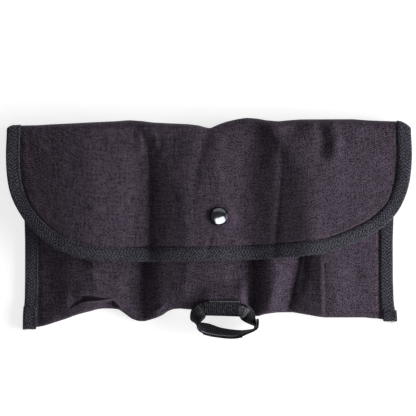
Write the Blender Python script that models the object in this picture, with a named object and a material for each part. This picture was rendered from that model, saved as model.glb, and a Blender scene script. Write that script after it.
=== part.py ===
"""Hanging toiletry bag: a soft envelope pouch lying on its back.

The flap folds over the mouth and closes with a press stud, the edges are bound
with tape, and a webbing strap with a hook-and-loop closure hangs from a seam
near the bottom edge.

Units are metres. X is the width, +Y points to the fold of the flap and +Z
points out of the front face. The origin is under the middle of the bag.
"""

import math

import bpy
import bmesh
from mathutils import Vector

MM = 0.001

# Cloth, tape and the clearance between pieces that touch
GAP = 0.3 * MM
CLOTH = 0.6 * MM
LINING = 0.4 * MM
TAPE = 0.6 * MM
TAPE_WIDTH = 11.0 * MM
HEM_TAPE = 0.4 * MM
HEM_WIDTH = 8.0 * MM

# Pouch
BODY_HALF = 151.6 * MM
CLOTH_HALF = BODY_HALF - TAPE - GAP
BOTTOM_Y = -68.5 * MM
LEFT_CORNER_DROP = 13.0 * MM
RIGHT_CORNER_DROP = 6.6 * MM
MOUTH_Y = 66.0 * MM
FOLD_Y = 80.0 * MM
EDGE_LIFT = TAPE + GAP
FRONT_Z = 15.0 * MM
EDGE_TOP_Z = 3.8 * MM
FLAT_EDGE_X = 139.0 * MM
FULL_X = 118.0 * MM
BOTTOM_ROUND = 14.0 * MM
SKIRT_Z = EDGE_LIFT + CLOTH + GAP

# Slip pocket sewn to the inside of the front
POCKET_MOUTH_Y = -27.0 * MM
POCKET_HALF = 134.0 * MM
POCKET_DEPTH = 4.6 * MM
POCKET_SEAM_GAP = 1.0 * MM
DIVIDER_X = 95.0 * MM

# Flap
FLAP_HALF = 165.4 * MM
FLAP_CENTRE_Y = 58.0 * MM
FLAP_TIP_Y = -27.3 * MM
FLAP_POWER = 3.0
FLAP_Z = 21.6 * MM
SIDE_DROOP = 11.6 * MM
SIDE_DROOP_X = 115.0 * MM
TIP_DROOP = 3.0 * MM
FLAP_STACK = CLOTH + GAP + LINING
TAPE_GAP = 0.4 * MM
FOLD_REACH = 10.0 * MM
FOLD_CLOTH = 1.0 * MM
HINGE_Z = 12.7 * MM

# Press stud, line 24
STUD_X = 8.15 * MM
STUD_Y = 9.66 * MM
CAP_R = 7.5 * MM
DISC_R = 6.2 * MM
SHANK_R = 1.9 * MM
SHANK_HOLE_R = 2.3 * MM
HEAD_R = 3.3 * MM
PATCH_R = 11.0 * MM
PATCH = 0.4 * MM

# Hanging strap
WEB_WIDTH = 12.9 * MM
WEB = 1.2 * MM
BASE_LEFT_X = 0.0 * MM
BASE_RIGHT_X = 25.0 * MM
BASE_Y = -66.4 * MM
BASE_Z = 13.4 * MM
BASE_TILT = math.radians(26.8)
BASE_END_GAP = 0.9 * MM
SEAM_Y = -59.0 * MM
SEAM_DEPTH = 1.8 * MM
SWING_Y = -60.2 * MM
SWING_Z = 17.0 * MM
PATCH_STRIP_WIDTH = 11.0 * MM
PATCH_STRIP = 0.4 * MM

ROUND_SIDES = 32


def clear_scene():
    for obj in list(bpy.data.objects):
        bpy.data.objects.remove(obj, do_unlink=True)


def material(name, colour, roughness, metallic=0.0):
    mat = bpy.data.materials.new(name)
    mat.use_nodes = True
    shader = mat.node_tree.nodes["Principled BSDF"]
    shader.inputs["Base Color"].default_value = (*colour, 1.0)
    shader.inputs["Roughness"].default_value = roughness
    shader.inputs["Metallic"].default_value = metallic
    return mat


def new_object(name, bm, mat, pivot, smooth=False):
    """Turns a bmesh in world coordinates into an object whose origin is the pivot empty's."""
    bmesh.ops.recalc_face_normals(bm, faces=bm.faces)
    bmesh.ops.translate(bm, vec=-pivot.location, verts=bm.verts)
    mesh = bpy.data.meshes.new(name)
    bm.to_mesh(mesh)
    bm.free()
    if smooth:
        mesh.shade_smooth()
        mesh.set_sharp_from_angle(angle=math.radians(35))
    obj = bpy.data.objects.new(name, mesh)
    bpy.context.scene.collection.objects.link(obj)
    obj.parent = pivot
    mesh.materials.append(mat)
    return obj


def pivot_empty(name, location, parent=None):
    empty = bpy.data.objects.new(name, None)
    empty.empty_display_size = 0.02
    bpy.context.scene.collection.objects.link(empty)
    empty.location = location
    if parent:
        empty.parent = parent
    return empty


# ---------------------------------------------------------------- surfaces


def smoothstep(t):
    t = min(max(t, 0.0), 1.0)
    return t * t * (3.0 - 2.0 * t)


def bottom_edge(x):
    """Y of the pouch's bottom fold: the sewn corners hang lower than the middle."""
    drop = LEFT_CORNER_DROP if x < 0 else RIGHT_CORNER_DROP
    return BOTTOM_Y - drop * (x / CLOTH_HALF) ** 2


def fullness(x):
    """How far the front stands off the back: 0 along the sewn sides, 1 across the middle."""
    return smoothstep((FLAT_EDGE_X - abs(x)) / (FLAT_EDGE_X - FULL_X))


def front_top(x, y):
    """Height of the front panel's outer face."""
    rise = min(max((y - bottom_edge(x)) / BOTTOM_ROUND, 0.0), 1.0)
    lower = math.sqrt(max(0.0, 1.0 - (1.0 - rise) ** 2))
    return EDGE_TOP_Z + (FRONT_Z - EDGE_TOP_Z) * fullness(x) * lower


def back_bottom(x, y):
    """Height of the back panel's outer face, lifted by the tape along its sides."""
    return EDGE_LIFT * smoothstep((abs(x) - FLAT_EDGE_X + 4 * MM) / (4 * MM))


def lining_top(x, y):
    """The front lining follows the front panel, a little further in at the bottom fold."""
    return front_top(x, y - 1.2 * MM) - CLOTH - GAP


def pocket_top(x, y):
    """The slip pocket hangs away from the lining between its sewn dividers."""
    if abs(x) < DIVIDER_X:
        across = x / DIVIDER_X
    else:
        middle = (POCKET_HALF + DIVIDER_X) / 2
        across = (abs(x) - middle) / (POCKET_HALF - middle)
    belly = (1.0 - abs(across) ** 6) * fullness(x)
    start = smoothstep((y - bottom_edge(x) - 8 * MM) / (8 * MM))
    return lining_top(x, y) - LINING - POCKET_SEAM_GAP - POCKET_DEPTH * belly * start


def flap_top(x, y):
    """Height of the flap's outer face: flat in the middle, drooping to its edges."""
    side = max(0.0, (abs(x) - SIDE_DROOP_X) / (FLAP_HALF - SIDE_DROOP_X))
    tip = max(0.0, y / FLAP_TIP_Y)
    return FLAP_Z - SIDE_DROOP * side**2 - TIP_DROOP * tip**2


def flap_edge(x, inset):
    """Y of the flap's curved free edge, a superellipse, drawn in by inset."""
    half = FLAP_HALF - inset
    reach = FLAP_CENTRE_Y - FLAP_TIP_Y - inset
    inside = max(0.0, 1.0 - abs(x / half) ** FLAP_POWER)
    return FLAP_CENTRE_Y - reach * inside ** (1.0 / FLAP_POWER)


def mirrored(values):
    """A column list from the positive half: negatives, zero and positives."""
    return [-v * MM for v in reversed(values)] + [0.0] + [v * MM for v in values]


BODY_COLUMNS = (25, 50, 75, 86, 92, 95, 98, 104, 111, 118, 122, 126, 130.5, 134.5, 139, 145)
FLAP_COLUMNS = (20, 40, 60, 80, 95, 107, 118, 127, 135.5, 143, 149, 154, 158, 161, 163.2, 164.5)
RISE_ROWS = (0.0, 1.5, 3.5, 6.0, 9.5, 14.0)


# ---------------------------------------------------------------- builders


def grid_faces(bm, lower, upper, flip):
    """Two triangles for each cell between two rows of vertices."""
    for a, b, c, d in zip(lower, lower[1:], upper[1:], upper):
        for face in ((a, b, c), (a, c, d)):
            bm.faces.new(reversed(face) if flip else face)


def layer(name, xs, rows, top, bottom, mat, pivot):
    """A closed sheet between two height fields. rows(x) gives the Y of each row at x."""
    bm = bmesh.new()
    points = list(zip(*[[(x, y) for y in rows(x)] for x in xs]))
    tops = [[bm.verts.new((x, y, top(x, y))) for x, y in row] for row in points]
    lows = [[bm.verts.new((x, y, bottom(x, y))) for x, y in row] for row in points]
    for j in range(len(points) - 1):
        grid_faces(bm, tops[j], tops[j + 1], False)
        grid_faces(bm, lows[j], lows[j + 1], True)
    grid_faces(bm, lows[0], tops[0], False)
    grid_faces(bm, lows[-1], tops[-1], True)
    grid_faces(bm, [row[0] for row in lows], [row[0] for row in tops], True)
    grid_faces(bm, [row[-1] for row in lows], [row[-1] for row in tops], False)
    return new_object(name, bm, mat, pivot)


def loft(name, sections, mat, pivot, smooth=False):
    """A closed solid through equal sections, with flat ends."""
    bm = bmesh.new()
    rings = [[bm.verts.new(p) for p in section] for section in sections]
    for ring, following in zip(rings, rings[1:]):
        count = len(ring)
        for i in range(count):
            j = (i + 1) % count
            bm.faces.new((ring[i], ring[j], following[j]))
            bm.faces.new((ring[i], following[j], following[i]))
    for ring in (rings[0], rings[-1]):
        cap = bm.faces.new(ring)
        cap.normal_update()
        bmesh.ops.triangulate(bm, faces=[cap])
    return new_object(name, bm, mat, pivot, smooth)


def turned(name, profile, mat, pivot):
    """A solid turned about the press stud's axis from a closed (radius, height) profile."""
    bm = bmesh.new()
    rings = []
    for radius, height in profile:
        if radius == 0.0:
            rings.append([bm.verts.new((STUD_X, STUD_Y, height))])
            continue
        ring = []
        for k in range(ROUND_SIDES):
            turn = 2.0 * math.pi * k / ROUND_SIDES
            x = STUD_X + radius * math.cos(turn)
            y = STUD_Y + radius * math.sin(turn)
            ring.append(bm.verts.new((x, y, height)))
        rings.append(ring)
    pairs = list(zip(rings, rings[1:]))
    if profile[0][0] != 0.0:
        pairs.append((rings[-1], rings[0]))
    for ring, following in pairs:
        for k in range(ROUND_SIDES):
            m = (k + 1) % ROUND_SIDES
            corners = [ring[k % len(ring)], ring[m % len(ring)]]
            corners += [following[m % len(following)], following[k % len(following)]]
            unique = list(dict.fromkeys(corners))
            if len(unique) > 2:
                bm.faces.new(unique)
    return new_object(name, bm, mat, pivot, smooth=True)


def punch(obj, pivot):
    """Cuts the press stud's shank hole through a cloth."""
    bm = bmesh.new()
    bmesh.ops.create_cone(
        bm, cap_ends=True, segments=ROUND_SIDES, radius1=SHANK_HOLE_R, radius2=SHANK_HOLE_R, depth=6 * MM
    )
    heights = [v.co.z for v in obj.data.vertices]
    middle = (max(heights) - CLOTH / 2) + pivot.location.z
    bmesh.ops.translate(bm, vec=(STUD_X, STUD_Y, middle), verts=bm.verts)
    cutter = new_object("cutter_" + obj.name, bm, obj.data.materials[0], pivot)
    cutter.hide_render = True
    cutter.display_type = "WIRE"
    cut = obj.modifiers.new("shank_hole", "BOOLEAN")
    cut.object = cutter
    cut.operation = "DIFFERENCE"


def smooth_path(controls, per_span):
    """Catmull-Rom samples through (centre, edge direction) stations."""
    centres = [Vector(c) for c, _ in controls]
    edges = [Vector(e).normalized() for _, e in controls]

    def sample(points, i, t):
        p0 = points[max(i - 1, 0)]
        p1, p2 = points[i], points[i + 1]
        p3 = points[min(i + 2, len(points) - 1)]
        a = 2 * p1 + (p2 - p0) * t
        b = (2 * p0 - 5 * p1 + 4 * p2 - p3) * t**2
        c = (3 * p1 - p0 - 3 * p2 + p3) * t**3
        return (a + b + c) / 2

    steps = [(i, k / per_span) for i in range(len(controls) - 1) for k in range(per_span)]
    steps.append((len(controls) - 2, 1.0))
    return [(sample(centres, i, t), sample(edges, i, t).normalized()) for i, t in steps]


def ribbon(name, path, width, thickness, mat, pivot, offset=0.0):
    """Webbing along a path of (centre, edge direction), moved off its middle by offset."""
    sections = []
    for i, (centre, edge) in enumerate(path):
        ahead = path[min(i + 1, len(path) - 1)][0] - path[max(i - 1, 0)][0]
        edge = (edge - ahead * (edge.dot(ahead) / ahead.length_squared)).normalized()
        out = ahead.cross(edge).normalized()
        low, high = out * (offset - thickness / 2), out * (offset + thickness / 2)
        half = edge * (width / 2)
        corners = (high + half, high - half, low - half, low + half)
        sections.append([centre + c for c in corners])
    return loft(name, sections, mat, pivot)


def hem(name, xs, edge_y, top, bottom, mat, pivot):
    """Tape folded over the upper edge of a sheet, along X."""
    sections = []
    for x in xs:
        inner_y, wall_y, outer_y = edge_y - HEM_WIDTH, edge_y + GAP, edge_y + GAP + HEM_TAPE
        high, low = top(x, edge_y) + GAP, bottom(x, edge_y) - GAP
        high_in, low_in = top(x, inner_y) + GAP, bottom(x, inner_y) - GAP
        outline = [
            (inner_y, high_in),
            (wall_y, high),
            (wall_y, low),
            (inner_y, low_in),
            (inner_y, low_in - HEM_TAPE),
            (outer_y, low - HEM_TAPE),
            (outer_y, high + HEM_TAPE),
            (inner_y, high_in + HEM_TAPE),
        ]
        sections.append([(x, y, z) for y, z in outline])
    return loft(name, sections, mat, pivot)


# ---------------------------------------------------------------- the pouch


def within(columns, half):
    inner = [x for x in columns if abs(x) < half - 1.5 * MM]
    return [-half] + inner + [half]


def build_panels(pouch, mats):
    columns = within(mirrored(BODY_COLUMNS), CLOTH_HALF)
    lining_half = CLOTH_HALF - 2.0 * MM
    lining_columns = within(mirrored(BODY_COLUMNS), lining_half)
    pocket_columns = within(mirrored(BODY_COLUMNS), POCKET_HALF)

    def back_rows(x):
        return [bottom_edge(x), bottom_edge(x) + 20 * MM, 0.0, FOLD_Y]

    def rise_rows(x, start, upper):
        first = bottom_edge(x) + start
        low = [first + row * MM for row in RISE_ROWS]
        return low + [low[-1] + (upper - low[-1]) * k / 3 for k in (1, 2, 3)]

    def back_lining_bottom(x, y):
        return back_bottom(x, y) + CLOTH + GAP

    def back_lining_top(x, y):
        return back_lining_bottom(x, y) + LINING

    def front_bottom(x, y):
        at_fold = y - bottom_edge(x) < 0.1 * MM
        return SKIRT_Z if at_fold else front_top(x, y) - CLOTH

    layer(
        "back_panel",
        columns,
        back_rows,
        lambda x, y: back_bottom(x, y) + CLOTH,
        back_bottom,
        mats["cloth"],
        pouch,
    )
    layer(
        "back_lining",
        lining_columns,
        lambda x: [bottom_edge(x) + 2.5 * MM, 0.0, FOLD_Y - 1 * MM],
        back_lining_top,
        back_lining_bottom,
        mats["lining"],
        pouch,
    )
    front = layer(
        "front_panel",
        columns,
        lambda x: rise_rows(x, 0.0, MOUTH_Y),
        front_top,
        front_bottom,
        mats["cloth"],
        pouch,
    )
    lining = layer(
        "front_lining",
        lining_columns,
        lambda x: rise_rows(x, 2.5 * MM, MOUTH_Y),
        lining_top,
        lambda x, y: lining_top(x, y) - LINING,
        mats["lining"],
        pouch,
    )
    punch(front, pouch)
    punch(lining, pouch)
    layer(
        "pocket_panel",
        pocket_columns,
        lambda x: rise_rows(x, 6.0 * MM, POCKET_MOUTH_Y),
        pocket_top,
        lambda x, y: pocket_top(x, y) - LINING,
        mats["lining"],
        pouch,
    )
    hem_columns = within(mirrored(BODY_COLUMNS), POCKET_HALF - 0.5 * MM)
    hem(
        "pocket_tape",
        hem_columns,
        POCKET_MOUTH_Y,
        pocket_top,
        lambda x, y: pocket_top(x, y) - LINING,
        mats["binding"],
        pouch,
    )
    hem(
        "mouth_tape",
        hem_columns,
        MOUTH_Y,
        front_top,
        lambda x, y: lining_top(x, y) - LINING,
        mats["binding"],
        pouch,
    )


def build_side_binding(name, side, pouch, mat):
    """Tape folded over the sewn edges of all four layers, from mouth to bottom corner."""
    outer = side * BODY_HALF
    wall = side * (BODY_HALF - TAPE)
    inner = side * (BODY_HALF - TAPE_WIDTH)
    under, over = TAPE, EDGE_TOP_Z + GAP
    outline = [
        (inner, 0.0),
        (outer, 0.0),
        (outer, over + TAPE),
        (inner, over + TAPE),
        (inner, over),
        (wall, over),
        (wall, under),
        (inner, under),
    ]
    ends = (bottom_edge(side * CLOTH_HALF) - EDGE_LIFT, 0.0, MOUTH_Y)
    return loft(name, [[(x, y, z) for x, z in outline] for y in ends], mat, pouch)


def build_bar_tack(name, x, pouch, mat):
    """A short thread tack where the pocket's divider seam starts."""
    half_width, half_height = 0.8 * MM, 2.0 * MM
    base = front_top(x, POCKET_MOUTH_Y) + GAP
    corners = [(-half_width, 0.0), (half_width, 0.0), (half_width, 0.5 * MM), (-half_width, 0.5 * MM)]
    sections = []
    for y in (POCKET_MOUTH_Y - half_height, POCKET_MOUTH_Y + half_height):
        sections.append([(x + dx, y, base + dz) for dx, dz in corners])
    return loft(name, sections, mat, pouch)


def build_fold(pouch, mat):
    """The stretch of cloth that bends over the top, between back panel and flap."""
    columns = mirrored(FLAP_COLUMNS)
    arc_steps = 8
    bm = bmesh.new()
    outer, inner = [], []
    for k in range(arc_steps + 1):
        turn = math.pi * (k / arc_steps - 0.5)
        rows = ([], [])
        for x in columns:
            middle = flap_top(x, 0.0) / 2
            for row, shrink in zip(rows, (0.0, FOLD_CLOTH)):
                y = FOLD_Y + GAP + (FOLD_REACH - shrink) * math.cos(turn)
                z = middle + (middle - shrink) * math.sin(turn)
                row.append(bm.verts.new((x, y, z)))
        outer.append(rows[0])
        inner.append(rows[1])
    for k in range(arc_steps):
        grid_faces(bm, outer[k], outer[k + 1], False)
        grid_faces(bm, inner[k], inner[k + 1], True)
    grid_faces(bm, inner[0], outer[0], False)
    grid_faces(bm, inner[-1], outer[-1], True)
    grid_faces(bm, [row[0] for row in inner], [row[0] for row in outer], True)
    grid_faces(bm, [row[-1] for row in inner], [row[-1] for row in outer], False)
    return new_object("flap_fold", bm, mat, pouch)


# ---------------------------------------------------------------- the flap


def build_flap(flap, mats):
    columns = mirrored(FLAP_COLUMNS)

    def rows(x, inset):
        low = flap_edge(x, inset)
        return [low + (FOLD_Y - low) * k / 7 for k in range(8)]

    cloth_inset = FLAP_HALF - max(columns)
    outer = layer(
        "flap_outer",
        columns,
        lambda x: rows(x, cloth_inset),
        flap_top,
        lambda x, y: flap_top(x, y) - CLOTH,
        mats["cloth"],
        flap,
    )
    lining = layer(
        "flap_lining",
        columns,
        lambda x: rows(x, cloth_inset),
        lambda x, y: flap_top(x, y) - CLOTH - GAP,
        lambda x, y: flap_top(x, y) - FLAP_STACK,
        mats["lining"],
        flap,
    )
    punch(outer, flap)
    punch(lining, flap)
    build_flap_binding(flap, mats["binding"])


def flap_outline(steps):
    """Points along the flap's free edge with the direction that points into the cloth."""
    points = [Vector((-FLAP_HALF, FOLD_Y, 0.0)), Vector((-FLAP_HALF, FOLD_Y - 11 * MM, 0.0))]
    for k in range(steps + 1):
        turn = math.pi * k / steps
        cosine, sine = math.cos(turn), math.sin(turn)
        x = -FLAP_HALF * math.copysign(abs(cosine) ** (2 / FLAP_POWER), cosine)
        y = FLAP_CENTRE_Y - (FLAP_CENTRE_Y - FLAP_TIP_Y) * sine ** (2 / FLAP_POWER)
        points.append(Vector((x, y, 0.0)))
    points += [Vector((FLAP_HALF, FOLD_Y - 11 * MM, 0.0)), Vector((FLAP_HALF, FOLD_Y, 0.0))]
    inward = []
    for i in range(len(points)):
        along = points[min(i + 1, len(points) - 1)] - points[max(i - 1, 0)]
        inward.append(Vector((-along.y, along.x, 0.0)).normalized())
    return list(zip(points, inward))


def build_flap_binding(flap, mat):
    """Tape folded over the flap's curved edge."""
    outline = flap_outline(44)
    across = (4.0 * MM, 7.5 * MM, TAPE_WIDTH)
    sections = []
    for point, inward in outline:

        def at(offset, height, above):
            spot = point + inward * offset
            level = flap_top(spot.x, spot.y)
            base = level if above else level - FLAP_STACK
            return (spot.x, spot.y, base + height)

        section = [at(w, TAPE_GAP + TAPE, True) for w in (0.0, *across)]
        section += [at(w, TAPE_GAP, True) for w in (*reversed(across), TAPE)]
        section += [at(w, -TAPE_GAP, False) for w in (TAPE, *across)]
        section += [at(w, -TAPE_GAP - TAPE, False) for w in (*reversed(across), 0.0)]
        sections.append(section)
    return loft("flap_binding", sections, mat, flap)


# ---------------------------------------------------------------- press stud


def build_press_stud(pouch, flap, mats):
    front = FRONT_Z
    front_under = FRONT_Z - CLOTH - GAP - LINING
    flap_under = FLAP_Z - FLAP_STACK
    disc = 0.8 * MM
    ridge = 0.4 * MM

    patch_top = front_under - GAP
    patch_low = patch_top - PATCH
    turned(
        "front_snap_patch",
        [(SHANK_HOLE_R, patch_low), (PATCH_R, patch_low), (PATCH_R, patch_top), (SHANK_HOLE_R, patch_top)],
        mats["lining"],
        pouch,
    )
    post_top = patch_low - GAP
    turned(
        "snap_post",
        [
            (0.0, post_top - ridge),
            (DISC_R - ridge, post_top - ridge),
            (DISC_R, post_top - ridge / 2),
            (DISC_R - ridge, post_top),
            (SHANK_R, post_top),
            (SHANK_R, front + GAP + disc),
            (0.0, front + GAP + disc),
        ],
        mats["metal"],
        pouch,
    )
    base = front + GAP
    head_top = base + disc + 2.4 * MM
    turned(
        "snap_stud",
        [
            (SHANK_R + 0.1 * MM, base),
            (DISC_R, base),
            (DISC_R, base + ridge),
            (DISC_R - 1.2 * MM, base + disc),
            (HEAD_R - 0.5 * MM, base + disc),
            (HEAD_R, head_top - 1.2 * MM),
            (HEAD_R - 0.5 * MM, head_top),
            (SHANK_R + 0.1 * MM, head_top),
        ],
        mats["metal"],
        pouch,
    )
    socket_low = base + disc + GAP
    socket_high = flap_under - GAP - PATCH - GAP
    turned(
        "snap_socket",
        [
            (HEAD_R + 0.5 * MM, socket_low),
            (DISC_R - 1.0 * MM, socket_low),
            (DISC_R, socket_low + 1.0 * MM),
            (DISC_R, socket_high),
            (SHANK_R + 0.1 * MM, socket_high),
            (SHANK_R + 0.1 * MM, socket_high - 0.35 * MM),
            (HEAD_R + 0.5 * MM, socket_high - 0.35 * MM),
        ],
        mats["metal"],
        flap,
    )
    turned(
        "flap_snap_patch",
        [
            (SHANK_HOLE_R, socket_high + GAP),
            (PATCH_R, socket_high + GAP),
            (PATCH_R, socket_high + GAP + PATCH),
            (SHANK_HOLE_R, socket_high + GAP + PATCH),
        ],
        mats["lining"],
        flap,
    )
    rim = FLAP_Z + GAP
    dome_height = 3.0 * MM
    dome = []
    dome_steps = 6
    for k in range(dome_steps):
        turn = math.pi / 2 * k / dome_steps
        dome.append((CAP_R * math.cos(turn), rim + 0.5 * MM + (dome_height - 0.5 * MM) * math.sin(turn)))
    turned(
        "snap_cap",
        [(0.0, socket_high - 0.3 * MM), (SHANK_R, socket_high - 0.3 * MM), (SHANK_R, rim), (CAP_R, rim)]
        + dome
        + [(0.0, rim + dome_height)],
        mats["metal"],
        flap,
    )


# ---------------------------------------------------------------- strap


def strap_stations():
    """Hand-placed stations of the webbing ring: (centre, direction to the edge nearest +Z)."""
    lean = (0.0, -math.cos(BASE_TILT), -math.sin(BASE_TILT))
    left = (BASE_LEFT_X, BASE_Y, BASE_Z)
    right = (BASE_RIGHT_X, BASE_Y, BASE_Z)

    def at(x, y, z):
        return (x * MM, y * MM, z * MM)

    long_limb = [
        (left, lean),
        (at(-5.0, -66.9, 13.5), (0.05, -0.9, -0.44)),
        (at(-9.6, -71.2, 13.4), (0.5, -0.85, 0.15)),
        (at(-11.6, -76.2, 11.6), (0.55, -0.15, 0.82)),
        (at(-8.2, -80.4, 9.8), (-0.1, -0.45, 0.88)),
        (at(-1.0, -82.8, 8.8), (-0.3, -0.62, 0.74)),
        (at(9.0, -85.3, 8.4), (-0.1, -0.6, 0.8)),
        (at(19.5, -86.5, 8.6), (0.0, -0.52, 0.85)),
        (at(27.5, -86.2, 9.2), (0.05, -0.3, 0.95)),
        (at(33.0, -84.6, 9.8), (0.05, -0.12, 0.99)),
    ]
    tab = [
        (at(33.8, -84.3, 9.85), (0.05, -0.12, 0.99)),
        (at(36.8, -83.2, 10.0), (0.04, -0.05, 0.99)),
        (at(39.9, -81.4, 10.2), (0.0, 0.0, 1.0)),
        (at(41.0, -78.2, 10.3), (0.0, 0.0, 1.0)),
        (at(41.1, -73.8, 10.4), (0.0, 0.0, 1.0)),
    ]
    short_limb = [
        (right, lean),
        (at(29.5, -66.9, 13.6), (-0.05, -0.9, -0.42)),
        (at(33.8, -69.8, 13.6), (-0.5, -0.82, 0.1)),
        (at(36.6, -73.6, 12.2), (-0.5, -0.1, 0.85)),
        (at(37.5, -77.0, 10.8), (-0.1, 0.0, 1.0)),
        (at(37.6, -80.2, 10.2), (0.0, 0.0, 1.0)),
    ]
    return long_limb, tab, short_limb


def part_of(path, start, end):
    return path[int(start * (len(path) - 1)) : int(end * (len(path) - 1)) + 1]


def build_strap(pouch, swing, tab_pivot, mats):
    low = front_top(BASE_LEFT_X, SEAM_Y + SEAM_DEPTH / 2) + GAP
    seam = [
        (SEAM_Y - SEAM_DEPTH / 2, low),
        (SEAM_Y + SEAM_DEPTH / 2, low),
        (SEAM_Y + SEAM_DEPTH / 2, low + WEB),
        (SEAM_Y - SEAM_DEPTH / 2, low + WEB),
    ]
    ends = (BASE_LEFT_X + GAP, BASE_RIGHT_X)
    loft("strap_seam", [[(x, y, z) for y, z in seam] for x in ends], mats["webbing"], pouch)

    lean = Vector((0.0, -math.cos(BASE_TILT), -math.sin(BASE_TILT)))
    base_path = []
    for x in (BASE_RIGHT_X - BASE_END_GAP, BASE_LEFT_X + BASE_END_GAP):
        base_path.append((Vector((x, BASE_Y, BASE_Z)), lean))
    ribbon("strap_base", base_path, WEB_WIDTH, WEB, mats["webbing"], swing)

    long_limb, tab, short_limb = strap_stations()
    long_path = smooth_path(long_limb, 5)
    tab_path = smooth_path(tab, 3)
    short_path = smooth_path(short_limb, 8)
    short_path.reverse()
    ribbon("strap_long_limb", long_path, WEB_WIDTH, WEB, mats["webbing"], swing)
    ribbon("strap_short_limb", short_path, WEB_WIDTH, WEB, mats["webbing"], swing)
    ribbon("strap_tab", tab_path, WEB_WIDTH, WEB, mats["webbing"], tab_pivot)
    outside = WEB / 2 + GAP + PATCH_STRIP / 2
    loop_path = part_of(short_path, 0.0, 0.38)
    hook_path = part_of(tab_path, 0.7, 1.0)
    ribbon("loop_patch", loop_path, PATCH_STRIP_WIDTH, PATCH_STRIP, mats["loop"], swing, outside)
    ribbon("hook_patch", hook_path, PATCH_STRIP_WIDTH, PATCH_STRIP, mats["hook"], tab_pivot, -outside)


def build():
    clear_scene()
    mats = {
        "cloth": material("charcoal_cloth", (0.058, 0.050, 0.064), 0.85),
        "lining": material("dark_lining", (0.035, 0.033, 0.038), 0.7),
        "binding": material("binding_tape", (0.062, 0.060, 0.070), 0.8),
        "metal": material("gunmetal", (0.05, 0.05, 0.055), 0.2, 1.0),
        "thread": material("thread", (0.02, 0.02, 0.024), 0.6),
        "webbing": material("webbing", (0.022, 0.022, 0.027), 0.75),
        "loop": material("loop_pile", (0.2, 0.2, 0.22), 0.95),
        "hook": material("hook_tape", (0.05, 0.05, 0.055), 0.5),
    }
    pouch = pivot_empty("pouch", Vector((0.0, 0.0, 0.0)))
    flap = pivot_empty("flap_pivot", Vector((0.0, FOLD_Y, HINGE_Z)))
    swing = pivot_empty("strap_pivot", Vector((0.0, SWING_Y, SWING_Z)))
    tab_pivot = pivot_empty("tab_pivot", Vector((33.5 * MM, -85.05 * MM, 9.8 * MM)))

    build_panels(pouch, mats)
    build_side_binding("side_binding_left", -1, pouch, mats["binding"])
    build_side_binding("side_binding_right", 1, pouch, mats["binding"])
    build_bar_tack("bar_tack_left", -DIVIDER_X, pouch, mats["thread"])
    build_bar_tack("bar_tack_right", DIVIDER_X, pouch, mats["thread"])
    build_fold(pouch, mats["cloth"])
    build_flap(flap, mats)
    build_press_stud(pouch, flap, mats)
    build_strap(pouch, swing, tab_pivot, mats)


build()
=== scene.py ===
"""Hanging toiletry bag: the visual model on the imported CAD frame.

Cloth, linings and tapes are parametric sheets whose relief (valleys, creases,
dents, slack) is laid down in code, then stitched and fastened like the real
bag. Shapes are worked out in millimetres; the meshes are in metres.
"""

import math

import bmesh
import bpy
import numpy as np
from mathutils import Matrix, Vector


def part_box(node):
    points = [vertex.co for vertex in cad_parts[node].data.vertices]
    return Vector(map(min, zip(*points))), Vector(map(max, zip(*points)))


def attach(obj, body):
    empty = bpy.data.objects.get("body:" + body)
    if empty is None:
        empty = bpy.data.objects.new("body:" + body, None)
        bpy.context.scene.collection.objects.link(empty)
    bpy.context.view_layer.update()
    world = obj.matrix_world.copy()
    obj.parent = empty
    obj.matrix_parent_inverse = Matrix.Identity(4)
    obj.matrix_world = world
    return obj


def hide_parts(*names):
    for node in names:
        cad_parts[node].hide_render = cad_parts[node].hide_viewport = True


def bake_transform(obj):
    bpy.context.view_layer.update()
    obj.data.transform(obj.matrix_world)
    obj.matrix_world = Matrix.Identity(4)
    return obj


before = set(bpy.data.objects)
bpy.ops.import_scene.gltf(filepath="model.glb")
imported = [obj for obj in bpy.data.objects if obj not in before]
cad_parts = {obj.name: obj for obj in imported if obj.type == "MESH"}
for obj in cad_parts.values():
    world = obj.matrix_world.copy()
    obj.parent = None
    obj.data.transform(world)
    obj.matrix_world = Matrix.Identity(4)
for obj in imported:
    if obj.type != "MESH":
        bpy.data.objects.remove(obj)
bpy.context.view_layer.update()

MM = 0.001

# Layers, in millimetres
CLOTH = 0.6
BACKING = 0.35
TAPE = 0.55
TAPE_WIDTH = 10.9
FLAP_STACK = 1.35

# Main lines: X to the right, Y up the bag, Z off the floor
FOLD_Y = 80.0
MOUTH_Y = 66.0
FLAP_SIDE_X = 165.4
CLOTH_SIDE_X = 150.6
FOLD_RUN = 20.0
TAIL_RUN = 8.0
TAIL_LEVEL = 0.7
BACK_UNDER_TAIL = 1.5
STUD = (8.15, 9.66)
STUD_LEVEL = 21.6
FRONT_LEVEL = 15.0
BINDING_INNER_X = 139.6
DIVIDER_X = 95.2
POCKET_TOP_Y = -27.0
POCKET_SIDE_X = 134.0
POCKET_LIFT = 9.0

# Press stud cap: a shallow dome with a rolled rim
CAP_RADIUS = 7.0
DOME_RADIUS = 13.8
DOME_RISE = 3.05

# Strap webbing
WEB_WIDTH = 12.9
WEB_THICK = 1.2
RIB_PITCH = 1.6
LIP_Y = -60.1
STRAP_MIDDLE_X = 12.5
STRAP_LEVEL = 14.8


# ---------------------------------------------------------------- helpers


def smooth(t):
    t = np.clip(t, 0.0, 1.0)
    return t * t * (3.0 - 2.0 * t)


def table(pairs, soften):
    """A function through (position, value) pairs, rounded by a Gaussian of width soften."""
    step = 0.5
    at, values = np.array(pairs, float).T
    dense = np.arange(at[0], at[-1] + step / 2, step)
    level = np.interp(dense, at, values)
    reach = int(3 * soften / step) + 1
    kernel = np.exp(-0.5 * (np.arange(-reach, reach + 1) * step / soften) ** 2)
    level = np.convolve(np.pad(level, reach, mode="edge"), kernel / kernel.sum(), mode="valid")
    return lambda v: np.interp(v, dense, level)


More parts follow.
